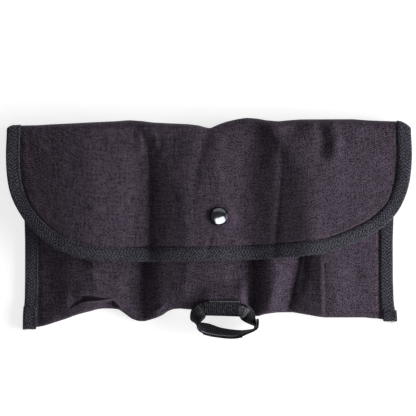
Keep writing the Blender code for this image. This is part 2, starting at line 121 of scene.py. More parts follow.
def notch(d, depth, before, after):
    """A creased valley at d = 0: a soft shoulder before it and a steep face after it."""
    shoulder = np.exp(-((np.maximum(-d, 0.0) / before) ** 1.55))
    face = np.exp(-np.maximum(d, 0.0) / after)
    return -depth * np.where(d < 0, shoulder, face)


def along(x, y, path):
    """Distance to a polyline, the share of it passed at the nearest point, and the side (+1 left)."""
    path = np.array(path, float)
    starts = arc_length(path)
    lengths = np.diff(starts)
    best = np.full(np.shape(x), 1e9)
    share, side = np.zeros(np.shape(x)), np.ones(np.shape(x))
    for k, length in enumerate(lengths):
        ax, ay = path[k]
        ux, uy = (path[k + 1] - path[k]) / length
        t = np.clip((x - ax) * ux + (y - ay) * uy, 0.0, length)
        dx, dy = x - ax - ux * t, y - ay - uy * t
        d = np.hypot(dx, dy)
        nearer = d < best
        best = np.where(nearer, d, best)
        share = np.where(nearer, (starts[k] + t) / starts[-1], share)
        side = np.where(nearer, np.sign(ux * dy - uy * dx), side)
    return best, share, side


def crease(x, y, path, height, width):
    """A ridge (or groove, with a negative height) along a polyline, fading at its ends."""
    d, share, _ = along(x, y, path)
    ends = smooth(np.minimum(share, 1 - share) / 0.25)
    return height * np.exp(-((d / width) ** 2)) * ends


def dent(x, y, at, size, depth, turn):
    """A soft oval hollow with half axes size, turned anticlockwise by turn degrees."""
    c, s = math.cos(math.radians(turn)), math.sin(math.radians(turn))
    u = ((x - at[0]) * c + (y - at[1]) * s) / size[0]
    v = ((y - at[1]) * c - (x - at[0]) * s) / size[1]
    return -depth * np.exp(-(u * u + v * v))


def uneven(x, y, cell_x, cell_y, seed):
    """Smooth seeded noise of about unit size."""
    grid = np.random.default_rng(seed).standard_normal((96, 96))
    gx, gy = np.asarray(x) / cell_x + 48.0, np.asarray(y) / cell_y + 48.0
    ix, iy = np.floor(gx).astype(int), np.floor(gy).astype(int)
    fx, fy = smooth(gx - ix), smooth(gy - iy)
    ix, iy = ix % 95, iy % 95
    low = grid[ix, iy] * (1 - fx) + grid[ix + 1, iy] * fx
    high = grid[ix, iy + 1] * (1 - fx) + grid[ix + 1, iy + 1] * fx
    return low * (1 - fy) + high * fy


def under(a, b):
    """The lower of two levels, rounded where they meet."""
    soft = 0.5
    m = np.minimum(a, b)
    return m - soft * np.log(np.exp(-(a - m) / soft) + np.exp(-(b - m) / soft))


def spline(path, per_span):
    """Catmull-Rom samples through rows of numbers."""
    p = np.array(path, float)
    p = np.vstack([2 * p[0] - p[1], p, 2 * p[-1] - p[-2]])
    rows = []
    for i in range(1, len(p) - 2):
        for t in np.arange(per_span) / per_span:
            a = 2 * p[i] + (p[i + 1] - p[i - 1]) * t
            b = (2 * p[i - 1] - 5 * p[i] + 4 * p[i + 1] - p[i + 2]) * t**2
            c = (3 * p[i] - p[i - 1] - 3 * p[i + 1] + p[i + 2]) * t**3
            rows.append((a + b + c) / 2)
    return np.array(rows + [p[-2]])


def unit(v):
    return v / np.maximum(np.linalg.norm(v, axis=-1, keepdims=True), 1e-12)


def facing(count, z=1.0):
    """The same vertical normal, count times."""
    return np.tile([0.0, 0.0, z], (count, 1))


def points(x, y, z):
    """Points from numbers and arrays that broadcast together."""
    return np.stack(np.broadcast_arrays(x, y, z), axis=-1)


def stitch_row(x, y, z, up=1.0):
    """A row of stitches: its points and their vertical normals."""
    at = points(x, y, z)
    return at, facing(len(at), up)


def arc_length(path):
    """Distance run at each point of a polyline."""
    return np.concatenate([[0.0], np.cumsum(np.linalg.norm(np.diff(path, axis=0), axis=1))])


def even_out(rows, reach):
    """A moving average over reach rows each way."""
    padded = np.pad(rows, ((reach, reach), (0, 0)), mode="edge")
    kernel = np.ones(2 * reach + 1) / (2 * reach + 1)
    return np.stack([np.convolve(column, kernel, mode="valid") for column in padded.T], axis=1)


def resample(path, pitch):
    """Points pitch apart along a polyline of any dimension."""
    path = np.asarray(path, float)
    run = arc_length(path)
    at = np.linspace(0.0, run[-1], max(2, int(round(run[-1] / pitch)) + 1))
    return np.stack([np.interp(at, run, column) for column in path.T], axis=1)


# ---------------------------------------------------------------- meshes


def mesh_object(name, verts, faces, mat, uvs=None):
    """A smooth mesh object from vertices in millimetres; uvs has a pair for each vertex."""
    mesh = bpy.data.meshes.new(name)
    mesh.from_pydata((np.asarray(verts) * MM).tolist(), [], [tuple(f) for f in faces])
    if uvs is not None:
        layer = mesh.uv_layers.new(name="weave")
        corner = np.zeros(len(mesh.loops), np.int32)
        mesh.loops.foreach_get("vertex_index", corner)
        layer.data.foreach_set("uv", np.asarray(uvs, np.float32)[corner].ravel())
    mesh.shade_smooth()
    mesh.set_sharp_from_angle(angle=math.radians(50))
    mesh.materials.append(mat)
    obj = bpy.data.objects.new(name, mesh)
    bpy.context.scene.collection.objects.link(obj)
    return obj


def run_lengths(p):
    """Arc length along the rows of a grid (u, from its middle) and down its columns (v)."""
    u, v = np.zeros(p.shape[:2]), np.zeros(p.shape[:2])
    u[:, 1:] = np.cumsum(np.linalg.norm(np.diff(p, axis=1), axis=2), axis=1)
    v[1:] = np.cumsum(np.linalg.norm(np.diff(p, axis=0), axis=2), axis=0)
    u -= u[:, [p.shape[1] // 2]]
    return np.stack([u, v], axis=2)


def quads(rows, cols):
    """The faces of a grid of rows times cols points, as corner numbers."""
    k = np.arange(rows * cols).reshape(rows, cols)
    return np.stack([k[:-1, :-1], k[:-1, 1:], k[1:, 1:], k[1:, :-1]], axis=-1).reshape(-1, 4)


def grid_normals(p):
    du, dv = np.gradient(p, axis=1), np.gradient(p, axis=0)
    return unit(np.cross(du, dv))


def cloth(name, p, thick, mat):
    """A closed sheet from a grid of outer points; its thickness goes inward."""
    rows, cols = p.shape[:2]
    n = grid_normals(p)
    verts = np.concatenate([p.reshape(-1, 3), (p - n * thick).reshape(-1, 3)])
    # crests are tinted paler: partly wear, partly a painted highlight on every convex fold
    worn_and_highlighted = np.tile(convexity(p, n).ravel(), 2)
    k = np.arange(rows * cols).reshape(rows, cols)
    outer = quads(rows, cols)
    inner = outer[:, ::-1] + rows * cols
    ring = np.concatenate([k[0, :], k[1:, -1], k[-1, -2::-1], k[-2:0:-1, 0]])
    following = np.roll(ring, -1)
    rim = np.stack([following, ring, ring + rows * cols, following + rows * cols], axis=-1)
    uvs = np.tile(run_lengths(p).reshape(-1, 2), (2, 1))
    obj = mesh_object(name, verts, np.concatenate([outer, inner, rim]), mat, uvs)
    layer = obj.data.attributes.new("wear_and_highlight", "FLOAT", "POINT")
    layer.data.foreach_set("value", worn_and_highlighted.astype(np.float32))
    return obj


def convexity(p, n):
    """How sharply a grid stands out along its normals, 0 to 1: where the cloth is rubbed paler and a painted
    highlight lies on the crests.
    """
    bend = np.zeros(p.shape[:2])
    for axis in (0, 1):
        before, after = np.roll(p, 1, axis=axis), np.roll(p, -1, axis=axis)
        span = np.linalg.norm(after - before, axis=2) / 2 + 1e-6
        bend += ((p - (before + after) / 2) * n).sum(axis=2) * 2 / span**2
    bend[[0, -1], :] = 0.0
    bend[:, [0, -1]] = 0.0
    return smooth((bend - 0.2) / 0.9)


def sleeve(name, sections, mat):
    """A solid through equal closed sections, with u along it and v round it."""
    p = np.array(sections, float)
    count, sides = p.shape[:2]
    ring = np.concatenate([p, p[:, :1]], axis=1)
    around = np.linalg.norm(np.diff(ring, axis=1), axis=2).mean(axis=0)
    u, v = arc_length(p.mean(axis=1)), np.concatenate([[0.0], np.cumsum(around)])
    uvs = np.stack(np.meshgrid(u, v, indexing="ij"), axis=-1).reshape(-1, 2)
    last = (count - 1) * (sides + 1)
    faces = quads(count, sides + 1).tolist()
    faces += [list(range(sides))[::-1], list(range(last, last + sides))]
    obj = mesh_object(name, ring.reshape(-1, 3), faces, mat, uvs)
    weld(obj)
    return obj


def weld(obj):
    """Joins the doubled seam of a tube and turns all faces outward."""
    bm = bmesh.new()
    bm.from_mesh(obj.data)
    bmesh.ops.remove_doubles(bm, verts=bm.verts, dist=1e-6)
    bmesh.ops.recalc_face_normals(bm, faces=bm.faces)
    bm.to_mesh(obj.data)
    bm.free()


def turned(name, profile, mat, sides=72):
    """A piece turned about the stud's axis from an open or closed (radius, height) profile."""
    turns = np.arange(sides + 1) * 2 * math.pi / sides
    r, h = np.array(profile, float).T
    x = STUD[0] + r[:, None] * np.cos(turns)
    y = STUD[1] + r[:, None] * np.sin(turns)
    verts = np.stack([x, y, np.repeat(h[:, None], sides + 1, axis=1)], axis=-1)
    run = arc_length(np.stack([r, h], axis=1))
    uvs = np.stack(np.meshgrid(run, turns * 6.0, indexing="ij"), axis=-1)
    obj = mesh_object(name, verts.reshape(-1, 3), quads(len(r), sides + 1), mat, uvs.reshape(-1, 2))
    weld(obj)
    return obj


def add_tube(verts, faces, rings):
    """Adds a tube with closed ends through rings of equally many points."""
    base, sides = len(verts), len(rings[0])
    for ring in rings:
        verts.extend(ring)
    for i in range(len(rings) - 1):
        low, high = base + i * sides, base + (i + 1) * sides
        for k in range(sides):
            m = (k + 1) % sides
            faces.append((low + k, low + m, high + m, high + k))
    last = base + (len(rings) - 1) * sides
    faces.append(tuple(base + k for k in reversed(range(sides))))
    faces.append(tuple(last + k for k in range(sides)))


def stitches(name, seams, mat, pitch=2.6, fill=0.72, radius=0.23, lift=0.05, wander=0.0, seed=3):
    """Short raised threads along seams. Each seam is a path on the cloth and its normals."""
    rng = np.random.default_rng(seed)
    turn = np.arange(6) * math.pi / 3
    steps = np.array([-1.0, -0.8, -0.35, 0.35, 0.8, 1.0])
    girth = np.array([0.25, 0.75, 1.0, 1.0, 0.75, 0.25])
    sink = np.array([-1.3, -0.4, 0.0, 0.0, -0.4, -1.3])
    verts, faces = [], []
    for path, normals in seams:
        both = resample(np.concatenate([path, normals], axis=1), pitch)
        centre = (both[:-1, :3] + both[1:, :3]) / 2
        ahead = unit(both[1:, :3] - both[:-1, :3])
        normal = unit(both[:-1, 3:] + both[1:, 3:])
        across = unit(np.cross(ahead, normal))
        for c, t, n, s in zip(centre, ahead, normal, across):
            c = c + s * rng.normal(0.0, wander) + n * lift
            half = pitch * fill / 2
            rings = []
            for step, g, down in zip(steps, girth, sink):
                spot = c + t * step * half + n * down * radius
                rings.append([spot + (s * math.cos(a) + n * math.sin(a)) * radius * g for a in turn])
            add_tube(verts, faces, rings)
    return mesh_object(name, verts, faces, mat, np.array(verts)[:, :2])


def fibres(name, runs, radius, mat, sides=5):
    """Thin tapering threads along polylines."""
    turn = np.arange(sides) * 2 * math.pi / sides
    verts, faces = [], []
    for path in runs:
        path = np.asarray(path, float)
        ahead = unit(np.gradient(path, axis=0))
        helper = np.array([0.0, 0.0, 1.0]) if abs(ahead[0][2]) < 0.9 else np.array([1.0, 0.0, 0.0])
        side = unit(np.cross(ahead, helper))
        other = np.cross(ahead, side)
        rings = []
        for i, spot in enumerate(path):
            r = radius * (1.0 - 0.65 * i / (len(path) - 1))
            rings.append([spot + (side[i] * math.cos(a) + other[i] * math.sin(a)) * r for a in turn])
        add_tube(verts, faces, rings)
    return mesh_object(name, verts, faces, mat, np.array(verts)[:, :2])


# ---------------------------------------------------------------- materials


class Shader:
    """Short-hand for building one node material."""

    def __init__(self, name):
        self.mat = bpy.data.materials.new(name)
        self.mat.use_nodes = True
        self.tree = self.mat.node_tree
        self.main = self.tree.nodes["Principled BSDF"]

    def node(self, kind, **settings):
        made = self.tree.nodes.new(kind)
        for key, value in settings.items():
            setattr(made, key, value)
        return made

    def link(self, source, socket):
        if isinstance(source, (int, float, tuple)):
            socket.default_value = source
        else:
            self.tree.links.new(source, socket)

    def math(self, operation, a, b=0.0, c=0.0):
        made = self.node("ShaderNodeMath", operation=operation)
        for value, socket in zip((a, b, c), made.inputs):
            self.link(value, socket)
        return made.outputs[0]

    def vector(self, x, y, z=0.0):
        made = self.node("ShaderNodeCombineXYZ")
        for value, socket in zip((x, y, z), made.inputs):
            self.link(value, socket)
        return made.outputs[0]

    def scaled(self, x, by_x, y, by_y):
        return self.vector(self.math("MULTIPLY", x, by_x), self.math("MULTIPLY", y, by_y))

    def noise(self, at, scale, detail=2.0, roughness=0.5):
        made = self.node("ShaderNodeTexNoise")
        self.link(at, made.inputs["Vector"])
        made.inputs["Scale"].default_value = scale
        made.inputs["Detail"].default_value = detail
        made.inputs["Roughness"].default_value = roughness
        return made.outputs["Fac"]

    def split(self, vector):
        made = self.node("ShaderNodeSeparateXYZ")
        self.link(vector, made.inputs[0])
        return made.outputs

    def uv(self):
        """Millimetres along and across the piece."""
        return self.split(self.node("ShaderNodeUVMap", uv_map="weave").outputs[0])[:2]

    def place(self):
        """Metres in the object's own frame."""
        return self.node("ShaderNodeTexCoord").outputs["Object"]

    def spread(self, value, low, high, to_low, to_high):
        made = self.node("ShaderNodeMapRange")
        self.link(value, made.inputs["Value"])
        ends = {"From Min": low, "From Max": high, "To Min": to_low, "To Max": to_high}
        for key, number in ends.items():
            made.inputs[key].default_value = number
        return made.outputs[0]

    def tint(self, factor, start, end):
        """From start, a colour or another node's colour, to the colour end."""
        made = self.node("ShaderNodeMix", data_type="RGBA")
        self.link(factor, made.inputs["Factor"])
        self.link((*start, 1.0) if isinstance(start, tuple) else start, made.inputs["A"])
        made.inputs["B"].default_value = (*end, 1.0)
        return made.outputs["Result"]

    def clamp(self, value):
        return self.spread(value, 0.0, 1.0, 0.0, 1.0)

    def add(self, value, *parts):
        """value plus gain * part + offset for each (part, gain, offset)."""
        for part, gain, offset in parts:
            value = self.math("ADD", value, self.math("MULTIPLY_ADD", part, gain, offset))
        return value

    def wave(self, kind, at, pitch):
        """A sine or cosine along at, repeating every pitch."""
        return self.math(kind, self.math("MULTIPLY", at, 2 * math.pi / pitch))

    def bump(self, height, strength, distance):
        made = self.node("ShaderNodeBump")
        made.inputs["Strength"].default_value = strength
        made.inputs["Distance"].default_value = distance
        self.link(height, made.inputs["Height"])
        return made.outputs[0]

    def finish(self, colour, roughness, normal, **constants):
        self.link(colour, self.main.inputs["Base Color"])
        self.link(roughness, self.main.inputs["Roughness"])
        self.link(normal, self.main.inputs["Normal"])
        for key, value in constants.items():
            self.main.inputs[key.replace("_", " ")].default_value = value
        return self.mat


def plain_weave(name, dark, light, worn_and_highlighted, yarn, sheen, roughness, depth=0.00014):
    """Canvas: yarns crossing one over one, uneven in thickness and shade, paler on the crests, partly from
    wear and partly as a painted highlight.
    """
    s = Shader(name)
    u, v = s.uv()
    u2 = s.math("ADD", u, s.math("MULTIPLY", s.noise(s.vector(u, v), 0.16, 1.0), 1.6))
    v2 = s.math("ADD", v, s.math("MULTIPLY", s.noise(s.vector(v, u), 0.14, 1.0), 1.6))
    warp = s.math("SINE", s.math("MULTIPLY", u2, math.pi / yarn))
    weft = s.math("SINE", s.math("MULTIPLY", v2, math.pi / yarn))
    cross = s.math("MULTIPLY", warp, weft)
    hump = s.math("ABSOLUTE", cross)
    across, lengthways = 0.36 / yarn, 0.11
    slub_u = s.noise(s.scaled(u2, across, v, lengthways), 1.0, 1.0, 0.6)
    slub_v = s.noise(s.scaled(u, lengthways, v2, across), 1.0, 1.0, 0.6)
    slub = s.math("ADD", slub_u, slub_v)
    cloud = s.noise(s.vector(u, v), 0.035, 3.0, 0.55)
    grain = s.noise(s.vector(u, v), 0.95, 2.0, 0.8)
    # the far left is a little flatter in tone
    fade = s.spread(s.split(s.place())[0], -0.15, 0.03, 0.72, 1.0)
    shade = s.math("MULTIPLY_ADD", s.math("MULTIPLY_ADD", grain, 9.6, -4.8), fade, 0.45)
    shade = s.add(shade, (slub, 1.6, -1.6), (cross, 0.7, 0.0), (cloud, 0.5, -0.25), (hump, 0.3, -0.12))
    # paler tint on convex crests: partly wear, partly a painted highlight
    wear_and_highlight = s.node("ShaderNodeAttribute", attribute_name="wear_and_highlight").outputs["Fac"]
    colour = s.tint(s.spread(wear_and_highlight, 0.0, 1.0, 0.0, 0.4), s.tint(s.clamp(shade), dark, light), worn_and_highlighted)
    height = s.add(hump, (cross, 0.5, 0.0), (slub, 1.0, 0.0))
    return s.finish(
        colour,
        s.spread(cloud, 0.3, 0.7, roughness - 0.05, roughness + 0.05),
        s.bump(height, 0.9, depth),
        Specular_IOR_Level=0.1,
        Specular_Tint=(0.9, 0.74, 0.96, 1.0),
        Sheen_Weight=sheen,
        Sheen_Roughness=0.45,
        Sheen_Tint=(0.85, 0.72, 0.92, 1.0),
    )


def twill_tape(name, dark, light, pitch=2.7, band=2.9):
    """Herringbone tape: twill lines that change direction from band to band."""
    s = Shader(name)
    u, v = s.uv()
    zig = s.math("PINGPONG", v, band)
    slant = s.math("MULTIPLY", s.math("ADD", u, zig), 2 * math.pi / pitch)
    slant = s.math("ADD", slant, s.math("MULTIPLY", s.noise(s.vector(u, v), 0.5, 1.0), 1.5))
    rib = s.math("SINE", slant)
    yarn = s.wave("SINE", v, 0.45)
    grain = s.noise(s.vector(u, v), 0.8, 2.0, 0.8)
    cloud = s.noise(s.vector(u, v), 0.05, 2.0)
    shade = s.add(0.34, (rib, 0.42, 0.0), (grain, 7.0, -3.5), (cloud, 0.4, -0.2))
    return s.finish(
        s.tint(s.clamp(shade), dark, light),
        s.spread(grain, 0.3, 0.7, 0.62, 0.74),
        s.bump(s.add(rib, (yarn, 0.25, 0.0)), 0.9, 0.0002),
        Specular_IOR_Level=0.12,
        Sheen_Weight=0.012,
        Sheen_Roughness=0.4,
    )


def ribbed_web(name, dark, light):
    """Webbing whose ribs run across its length; the ribs themselves are in the mesh, and the colour along
    them is striped as painted shade and highlight at the ribs' pitch.
    """
    s = Shader(name)
    u, v = s.uv()
    rib = s.wave("COSINE", u, RIB_PITCH)
    yarn = s.wave("SINE", v, 0.7)
    grain = s.noise(s.scaled(u, 1.1, v, 0.5), 1.0, 2.0, 0.75)
    # painted shade and highlight: darker and lighter stripes at the ribs' pitch
    shade = s.add(0.2, (rib, 0.55, 0.0), (grain, 6.0, -3.0))
    return s.finish(
        s.tint(s.clamp(shade), dark, light),
        s.spread(grain, 0.3, 0.7, 0.5, 0.66),
        s.bump(s.add(grain, (yarn, 0.5, 0.0)), 0.6, 0.0001),
        Specular_IOR_Level=0.07,
    )


def thread_shader(name, dark, light, roughness=0.4):
    """Twisted yarn, thread or fibre."""
    s = Shader(name)
    twist = s.noise(s.place(), 900.0, 2.0, 0.6)
    colour = s.tint(twist, dark, light)
    normal = s.bump(twist, 0.5, 0.0001)
    rough = s.spread(twist, 0.3, 0.7, roughness - 0.08, roughness + 0.08)
    return s.finish(colour, rough, normal, Specular_IOR_Level=0.14, Sheen_Weight=0.01)


def polished_metal(name):
    """Blackened metal with fine turning marks, a few handling scratches and its rim painted near black as a
    painted dark reflection.
    """
    s = Shader(name)
    u, v = s.uv()
    turning = s.noise(s.scaled(u, 6.0, v, 0.05), 1.0, 2.0)
    smear = s.noise(s.place(), 260.0, 3.0, 0.6)
    colour = s.tint(s.spread(smear, 0.35, 0.65, 0.0, 1.0), (0.255, 0.262, 0.30), (0.32, 0.33, 0.375))
    rough = s.add(s.spread(smear, 0.3, 0.7, 0.10, 0.19), (turning, 0.04, 0.0))
    # the rolled rim is painted near black: a painted dark reflection that stands in for the dark ring and
    # hides the lamps' glints there
    rim = s.spread(u, CAP_RADIUS - 0.5, CAP_RADIUS - 0.05, 0.0, 0.97)
    colour = s.tint(rim, colour, (0.004, 0.004, 0.005))
    normal = s.bump(turning, 0.15, 0.00003)
    return s.finish(colour, rough, normal, Metallic=1.0)


def pale_floor(name):
    s = Shader(name)
    cloud = s.noise(s.place(), 1.4, 3.0)
    fine = s.noise(s.place(), 420.0, 2.0)
    colour = s.tint(cloud, (0.44, 0.44, 0.445), (0.48, 0.48, 0.48))
    s.main.inputs["Emission Color"].default_value = (1.0, 1.0, 1.0, 1.0)
    s.main.inputs["Emission Strength"].default_value = 0.74
    return s.finish(colour, s.spread(fine, 0.3, 0.7, 0.8, 0.9), s.bump(fine, 0.05, 0.0002))


# ---------------------------------------------------------------- the flap's shape

# Y of the fold's outer edge along X
FOLD_TOP = table(
    [(-170, 81.0), (-165, 81.2), (-162, 83.4), (-150, 83.8), (-141, 83.9), (-130, 84.6), (-112, 85.4)]
    + [(-95, 86.3), (-77, 87.1), (-65, 88.0), (-55, 87.3), (-46, 86.1), (-34, 85.5), (-18, 84.8)]
    + [(-9, 83.8), (-3, 82.2)]
    + [(0.8, 81.2), (5.7, 83.6), (10.6, 85.6), (15.5, 87.1), (24, 89.0), (31, 90.0), (40, 89.3), (47, 87.9)]
    + [(57, 87.0), (64, 87.8), (75, 88.6), (118, 88.8), (130, 87.9), (148, 87.2), (157, 87.0), (162.5, 84.0)]
    + [(165, 81.4), (170, 81.0)],
    soften=1.1,
)

# The flap's free edge, from the left end of the fold round to the right
FLAP_OUTLINE = [
    (-165.2, 80.0), (-165.3, 66.0), (-165.3, 52.0), (-164.5, 41.0), (-163.0, 31.7), (-160.6, 24.0),
    (-157.0, 16.6), (-151.4, 7.4), (-144.2, -1.4), (-136.1, -9.0), (-127.6, -15.2), (-118.2, -20.0),
    (-103.0, -24.9), (-90.0, -26.7), (-72.0, -27.3), (-48.0, -27.3), (-12.0, -26.9), (12.0, -26.6),
    (33.4, -26.1), (55.4, -24.7), (76.0, -22.9), (96.2, -20.3), (110.0, -15.9), (123.1, -10.4),
    (133.4, -5.2), (142.0, 0.8), (150.8, 9.0), (156.0, 16.6), (160.0, 24.8), (162.6, 33.0),
    (164.4, 42.0), (165.3, 54.0), (165.3, 66.0), (165.0, 80.0),
]  # fmt: skip


def flap_outline():
    """The free edge, smooth and evenly spaced."""
    dense = resample(spline(FLAP_OUTLINE, 12), 1.0)
    return resample(even_out(even_out(dense, 5), 5), 1.0)


OUTLINE = flap_outline()


def edge_y(x):
    """Y of the flap's free edge."""
    low = OUTLINE[OUTLINE[:, 1] < 56.0]
    return np.interp(x, low[:, 0], low[:, 1])


def side_gap(x, y):
    """How far the free edge has drawn in from the flap's full width at y."""
    left, right = OUTLINE[OUTLINE[:, 0] < -40], OUTLINE[OUTLINE[:, 0] > 40]
    at_left = FLAP_SIDE_X + np.interp(-y, -left[:, 1], left[:, 0])
    at_right = FLAP_SIDE_X - np.interp(y, right[:, 1], right[:, 0])
    return np.where(x < 0, at_left, at_right)


# Height of the flap along X, before its creases
FLAP_CROWN = table(
    [(-170, 17.0), (-158, 17.3), (-148, 18.0), (-135, 19.4), (-120, 21.2), (-105, 22.6), (-93, 23.0)]
    + [(-75, 22.6), (-60, 22.2), (-48, 22.2), (-30, 22.6), (-15, 22.7), (-4, 22.5), (8, 21.6)]
    + [(18, 20.2), (27, 18.8), (34, 18.6), (42, 19.7), (50, 21.2), (58, 22.6), (66, 23.2), (73, 24.4)]
    + [(80, 25.1), (86, 24.9), (100, 22.6), (120, 19.9), (138, 17.4), (148, 16.2), (156, 15.8), (170, 15.6)],
    soften=2.2,
)


# Creases as (path, height, width) and dents as (centre, half size, depth, turn)
FLAP_CREASES = [
    ([(46.5, 90), (45.5, 84), (44.0, 78), (43.0, 72)], -1.4, 3.0),
    ([(86, 85), (91.0, 79), (93.0, 72), (91.5, 62), (88, 54)], -1.5, 4.6),
    ([(97, 88), (101.5, 79), (103.6, 71), (102, 60), (98, 50)], 1.6, 5.2),
    ([(120, 84), (119, 70), (116, 52)], 0.5, 6.0),
    ([(-62.0, 88), (-56.0, 82), (-50.0, 77.0), (-44.5, 75.0)], 0.9, 2.2),
    ([(-49.5, 87), (-46.5, 80), (-43.5, 73), (-42.5, 64)], 0.8, 2.6),
    ([(-59, 80), (-56.0, 70), (-54.5, 58)], 0.8, 2.8),
    ([(-38, 84), (-35.0, 74), (-34.5, 60)], 0.5, 3.6),
    ([(0.8, 90), (-1.0, 80), (-6.5, 64), (-11.0, 44), (-12.0, 24)], -0.8, 4.2),
    ([(9.0, 86), (7.0, 70), (6.0, 45), (7.0, 24)], 0.5, 5.0),
    ([(5.0, 3.0), (2.0, -5.0), (-1.5, -17.0), (-2.5, -27)], -0.5, 1.6),
    ([(-24, 44), (-20, 14), (-18, -22)], 0.7, 5.0),
]
FLAP_DENTS = [
    ((44.0, 66.0), (8.0, 13.0), 1.6, 0.0),
    ((69.0, 82.0), (11.0, 7.5), 2.8, 0.0),
    ((150.5, 50.0), (6.0, 13.0), 1.1, 8.0),
]


def relief(x, y, creases, dents):
    return sum(crease(x, y, *c) for c in creases) + sum(dent(x, y, *d) for d in dents)


def flap_z(x, y):
    """Height of the flap's outer face, with the valleys and dents of soft cloth."""
    x, y = np.broadcast_arrays(np.asarray(x, float), np.asarray(y, float))
    level = 21.0 + 0.6 * smooth((60 - y) / 40)
    foot = np.interp(y, [44, 57, 67, 78, 88], [30.0, 31.0, 32.0, 37.0, 42.0])
    crest = np.interp(y, [44, 57, 67, 78, 88], [80.0, 71.0, 61.0, 52.0, 47.0])
    at = np.where(x < foot, 8 + 22 * (x - 8) / (foot - 8), 30 + 50 * (x - foot) / (crest - foot))
    at = np.where(x > crest, 80 + 32 * (x - crest) / (112 - crest), at)
    at = np.where((x < 8) | (x > 112), x, at)
    z = level + 1.3 * (FLAP_CROWN(at) - level) * (0.6 + 0.4 * smooth((80 - y) / 36))
    z = z - 2.2 * smooth(-y / 27.5) ** 1.5 - 1.2 * smooth((y - 60) / 20)

    # the left and middle fields meet in a creased valley
    edge = np.interp(y, [-28, 20, 50, 66, 76, 88], [-48.3, -48.0, -48.2, -50.0, -54.0, -59.0])
    strength = np.interp(y, [-28, -15, 30, 56, 70, 82], [0.4, 1.0, 1.0, 0.85, 0.55, 0.15])
    z = z + notch(x - edge, 7.8, 30.0, 13.0) * strength

    # a pinched line on the slope up to the right field
    edge = np.interp(y, [-28, -14, 20, 45, 63, 80], [52.6, 53.8, 56.8, 58.6, 59.4, 60.5])
    strength = np.interp(y, [-28, -14, 40, 56, 66, 74], [0.2, 1.0, 1.0, 0.7, 0.3, 0.0])
    z = z + notch(x - edge, 1.3, 3.2, 6.0) * strength

    z = z + relief(x, y, FLAP_CREASES, FLAP_DENTS)

    # the binding draws the cloth in along its inner edge
    slope = (edge_y(x + 1.0) - edge_y(x - 1.0)) / 2
    from_side = FLAP_SIDE_X - np.abs(x) - side_gap(x, y)
    margin = np.minimum((y - edge_y(x)) / np.hypot(1.0, slope), from_side)
    z = z - 0.8 * np.exp(-(((margin - TAPE_WIDTH - 0.9) / 1.1) ** 2))

    # slack all over
    z = z + 0.2 * uneven(x, y, 17.0, 46.0, 5) + 0.13 * uneven(x + 0.3 * y, y, 9.0, 24.0, 6)
    z = z + 0.06 * uneven(x - 0.5 * y, y, 5.0, 9.0, 8)

    # flat seat for the press stud
    seat = smooth((15.0 - np.hypot(x - STUD[0], y - STUD[1])) / 7.0)
    return z * (1 - seat) + STUD_LEVEL * seat


def flap_point(x, q):
    """The flap's outer face. q is Y on the flap, then runs over the fold and down the tail behind."""
    x, q = np.broadcast_arrays(np.asarray(x, float), np.asarray(q, float))
    y = np.minimum(q, FOLD_Y)
    turn = np.clip((q - FOLD_Y) / FOLD_RUN, 0.0, 1.0) * math.pi
    half = (flap_z(x, y) - TAIL_LEVEL) / 2
    reach = (FOLD_TOP(x) - FOLD_Y) * np.sin(turn)
    down = np.maximum(q - FOLD_Y - FOLD_RUN, 0.0)
    z = TAIL_LEVEL + half + half * np.cos(turn)
    squeeze = 1.0 - 0.003 * smooth((y - 60.0) / 20.0)
    return points(x * squeeze, y + reach - down, z)


def flap_frame(x, q, eps=0.25):
    """Point and outward normal of the flap's outer face."""
    p = flap_point(x, q)
    du = flap_point(np.asarray(x) + eps, q) - flap_point(np.asarray(x) - eps, q)
    dv = flap_point(x, np.asarray(q) + eps) - flap_point(x, np.asarray(q) - eps)
    return p, unit(np.cross(du, dv))


# ---------------------------------------------------------------- the pouch's shape

# Y of the pouch's bottom fold along X
BOTTOM_LINE = table(
    [(-152, -82.3), (-146, -82.2), (-141, -81.5), (-136, -80.7), (-131, -79.2), (-126, -77.5), (-121, -75.9)]
    + [(-116, -74.3), (-111, -72.3), (-107, -71.0), (-102, -69.6), (-97, -68.4), (-92, -66.9), (-87, -66.2)]
    + [(-80, -66.3), (-74, -66.9), (-70.5, -69.2), (-67, -72.0), (-63, -74.9), (-58, -76.6), (-53, -76.8)]
    + [(-48, -75.4), (-43, -73.8), (-38, -71.6), (-33.5, -68.2), (-29, -66.6), (-23, -66.2), (-18, -66.8)]
    + [(0, -68.0), (20, -68.4), (33, -71.4), (40, -72.6), (45, -71.0), (50, -70.1), (56, -69.4), (69, -69.3)]
    + [(74, -70.2), (79, -71.0), (84, -71.9), (89, -72.8), (94, -73.5), (128, -73.6), (133, -74.2)]
    + [(138, -74.5), (143, -75.2), (148, -75.9), (154, -76.0)],
    soften=0.9,
)

# Height of the front along X, below the flap's edge and up under the flap
FRONT_FIELD = table(
    [(-156, 3.3), (-141, 3.4), (-136, 4.0), (-128, 6.2), (-115, 9.2), (-102, 11.4), (-90, 12.2)]
    + [(-76, 12.0), (-62, 11.4), (-48, 11.8), (-32, 12.9), (-20, 13.4), (-6, 13.5), (6, 13.2)]
    + [(20, 12.2), (32, 11.6), (42, 13.2), (48, 14.6), (53, 14.7), (60, 13.2), (66, 12.6), (78, 13.0)]
    + [(88, 14.0), (92, 13.9), (97, 12.8), (105, 11.4), (113, 9.6), (121, 7.8), (129, 6.2), (136, 4.9)]
    + [(142, 3.8), (156, 3.3)],
    soften=1.8,
)
UPPER_FIELD = table(
    [(-156, 3.3), (-141, 3.4), (-120, 7.0), (-100, 10.0), (-70, 12.6), (-40, 13.8), (0, 14.9)]
    + [(16, 14.9), (60, 13.6), (90, 12.0), (120, 8.4), (136, 4.4), (143, 3.5), (156, 3.3)],
    soften=4.0,
)


